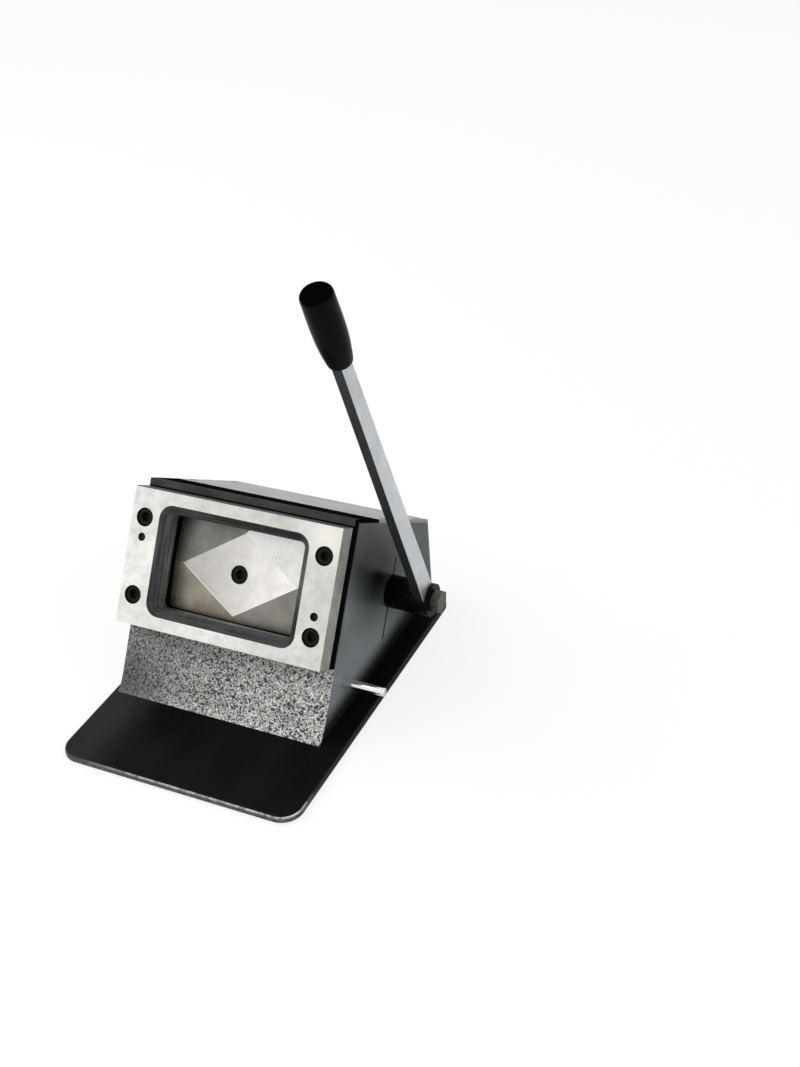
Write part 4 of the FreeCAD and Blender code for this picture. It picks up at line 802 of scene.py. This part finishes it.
# ---------------------------------------------------------------- hub bolt
# An M8 hexagon head bolt through the hub's end into the tapped end of the shaft, which draws the
# hub on. Its plating has gone brown-grey.
aged = Finish("aged_plating", (0.07, 0.065, 0.055), 0.42, 0.6, 0.3)
tarnish = aged.grain(0.0018, detail=5)
aged.colour(aged.ramp(tarnish, [(0.35, (0.03, 0.027, 0.023)), (0.65, (0.1, 0.094, 0.082))]))
aged.gloss(tarnish, 0.3, 0.55)
aged.bump(tarnish, 0.00004, 0.6)
hex_corner, hex_height, hex_middle = 0.0075056, 0.0053, 0.09665
bolt_radius, shank, shank_middle = 0.0039, 0.026, 0.081
across = Matrix.Rotation(math.pi / 2, 4, "Y")
hex_bolt = bmesh.new()
peg(hex_bolt, hex_corner, hex_height, Matrix.Translation((hex_middle, 0, 0)) @ across, 6)
soften(hex_bolt, 0.0005, 3, 40)
peg(hex_bolt, bolt_radius, shank, Matrix.Translation((shank_middle, 0, 0)) @ across)
finished("hub_bolt_aged", hex_bolt, [aged], "lever_body", ["hub_bolt"], place=lever)


# ---------------------------------------------------------------- grip
# A turned black plastic handle, widest near the top, with a flat end and a small rim. The flat end
# has a darker, unshining copy of the plastic as painted shade. The bar is pressed into the slot in
# its lower end.
grip_black = Finish("grip_black", (0.003, 0.0029, 0.0028), 0.3, shine=0.03)
handling = grip_black.grain(0.006, detail=4)
grip_black.gloss(handling, 0.18, 0.34)
grip_black.bump(grip_black.grain(0.0012, detail=2), 0.00003, 0.6)
grip_x = bar_side + bar_thickness / 2
profile = [(0.006, grip_foot), (0.0064, 0.2048), (0.00672, 0.2062), (0.0073, 0.2108),
           (0.0078, 0.2152), (0.00815, 0.2193), (0.00835, 0.224), (0.00843, 0.23), (0.0084, 0.236),
           (0.0083, 0.2425), (0.0082, 0.2475), (0.00805, 0.2484), (0.00765, 0.2491),
           (0.0071, 0.2495), (0.0066, 0.2495), (0.0062, 0.249), (0.0, 0.249)]
grip = bmesh.new()
line = [grip.verts.new((grip_x + radius, 0, z)) for radius, z in profile]
rail = [grip.edges.new(pair) for pair in zip(line, line[1:])]
bmesh.ops.spin(grip, geom=line + rail, cent=(grip_x, 0, 0), axis=(0, 0, 1), angle=math.tau,
               steps=64, use_merge=True)
bmesh.ops.remove_doubles(grip, verts=grip.verts, dist=0.000002)
end_ring = [edge for edge in grip.edges if len(edge.link_faces) == 1
            and all(abs(vert.co.z - grip_foot) < 1e-6 for vert in edge.verts)]
slot_corners = [grip.verts.new((grip_x + sx * bar_thickness / 2, sy * half_tip, grip_foot))
                for sx, sy in ((-1, -1), (1, -1), (1, 1), (-1, 1))]
slot_ring = [grip.edges.new(pair)
             for pair in zip(slot_corners, slot_corners[1:] + slot_corners[:1])]
face_between(grip, end_ring + slot_ring)
face_between(grip, drop(grip, slot_ring, bar_tip - grip_foot, axis=(0, 0, 1)))
# A darker, unshining copy of the grip's plastic on the flat end: painted shade.
shaded_grip_end = Finish("shaded_grip_end", (0.0016, 0.0015, 0.0015), 0.7, shine=0.0)
shaded_grip_end.bump(shaded_grip_end.grain(0.0012, detail=2), 0.00003, 0.6)
end_start = 0.2489
for face in grip.faces:
    face.material_index = int(min(vert.co.z for vert in face.verts) > end_start)
finished("lever_grip_turned", grip, [grip_black, shaded_grip_end], "lever_body", ["lever_grip"],
         place=lever)


# ---------------------------------------------------------------- stop pin
# A chromed steel rod pressed into the right wall. The bar stops just above it when the lever has
# been pulled right down.
chrome = Finish("chromed_steel", (0.8, 0.8, 0.81), 0.07, 1.0)
chrome.gloss(chrome.grain(0.002, detail=3), 0.05, 0.14)
rod_radius, rod_length, rod_middle, rod_drop, rod_depth = 0.0025, 0.0318, 0.0764, 0.0087, 0.0325
rod = bmesh.new()
peg(rod, rod_radius, rod_length,
    Matrix.Translation((*level(-rod_drop, rod_depth).xy, rod_middle)), 40)
soften(rod, 0.0005, 3, 60)
finished("stop_pin_chromed", rod, [chrome], "frame", ["stop_pin"], place=side)


# ---------------------------------------------------------------- stage
# A white floor that keeps the shadows, a large soft key lamp high on the left and a weak fill. The
# background is white to the camera and in reflections, and weaker as a light.
def lamp(name, place, aim, size, power):
    """A square soft lamp at this place that shines at the aim."""
    light = bpy.data.lights.new(name, "AREA")
    light.shape, light.size, light.energy = "SQUARE", size, power
    thing = bpy.data.objects.new(name, light)
    bpy.context.scene.collection.objects.link(thing)
    thing.location = place
    thing.rotation_euler = (Vector(aim) - Vector(place)).to_track_quat("-Z", "Y").to_euler()


white = Finish("floor_white", (0.94, 0.94, 0.94), 0.9, shine=0.0)
seen = white.add("Math", {0: white.add("LightPath").outputs["Is Camera Ray"], 1: 0.8},
                 operation="MULTIPLY")
paper = white.add("Emission", {"Color": (1, 1, 1, 1), "Strength": 1.0})
blend = white.add("MixShader", {0: seen.outputs["Value"], 1: white.shader.outputs["BSDF"],
                                2: paper.outputs["Emission"]})
white.set(white.tree.nodes["Material Output"], {"Surface": blend.outputs["Shader"]})
floor_shape = bmesh.new()
bmesh.ops.create_grid(floor_shape, x_segments=1, y_segments=1, size=4)
floor_mesh = bpy.data.meshes.new("floor")
floor_shape.to_mesh(floor_mesh)
floor_shape.free()
floor_mesh.materials.append(white.material)
floor = bpy.data.objects.new("floor", floor_mesh)
bpy.context.scene.collection.objects.link(floor)
lamp("key", (-1.1, -0.25, 1.5), (0, 0, 0.08), 1.6, 21)
lamp("fill", (1.3, -0.3, 0.8), (0, 0, 0.1), 1.0, 5)

world = bpy.data.worlds.new("world")
bpy.context.scene.world = world
world.use_nodes = True
tree = world.node_tree
tree.nodes.clear()
rays = tree.nodes.new("ShaderNodeLightPath").outputs
bright = tree.nodes.new("ShaderNodeBackground")
bright.inputs["Strength"].default_value = 1.0
soft = tree.nodes.new("ShaderNodeBackground")
soft.inputs["Strength"].default_value = 0.63
chosen = tree.nodes.new("ShaderNodeMixShader")
either = tree.nodes.new("ShaderNodeMath")
either.operation = "MAXIMUM"
tree.links.new(rays["Is Camera Ray"], either.inputs[0])
tree.links.new(rays["Is Glossy Ray"], either.inputs[1])
tree.links.new(either.outputs[0], chosen.inputs[0])
tree.links.new(soft.outputs[0], chosen.inputs[1])
tree.links.new(bright.outputs[0], chosen.inputs[2])
tree.links.new(chosen.outputs[0], tree.nodes.new("ShaderNodeOutputWorld").inputs["Surface"])
for shade in (bright, soft):
    shade.inputs["Color"].default_value = (1, 1, 1, 1)

view = bpy.context.scene.view_settings
view.view_transform = "Standard"
lens = bpy.data.cameras.new("camera")
lens.lens, lens.sensor_width = 48.74, 36
camera = bpy.data.objects.new("camera", lens)
bpy.context.scene.collection.objects.link(camera)
camera.matrix_world = Matrix(((0.9062, -0.1878, 0.3789, 0.3805), (0.4184, 0.5293, -0.7381, -0.5546),
                              (-0.0619, 0.8274, 0.5582, 0.5425), (0, 0, 0, 1)))
bpy.context.scene.camera = camera
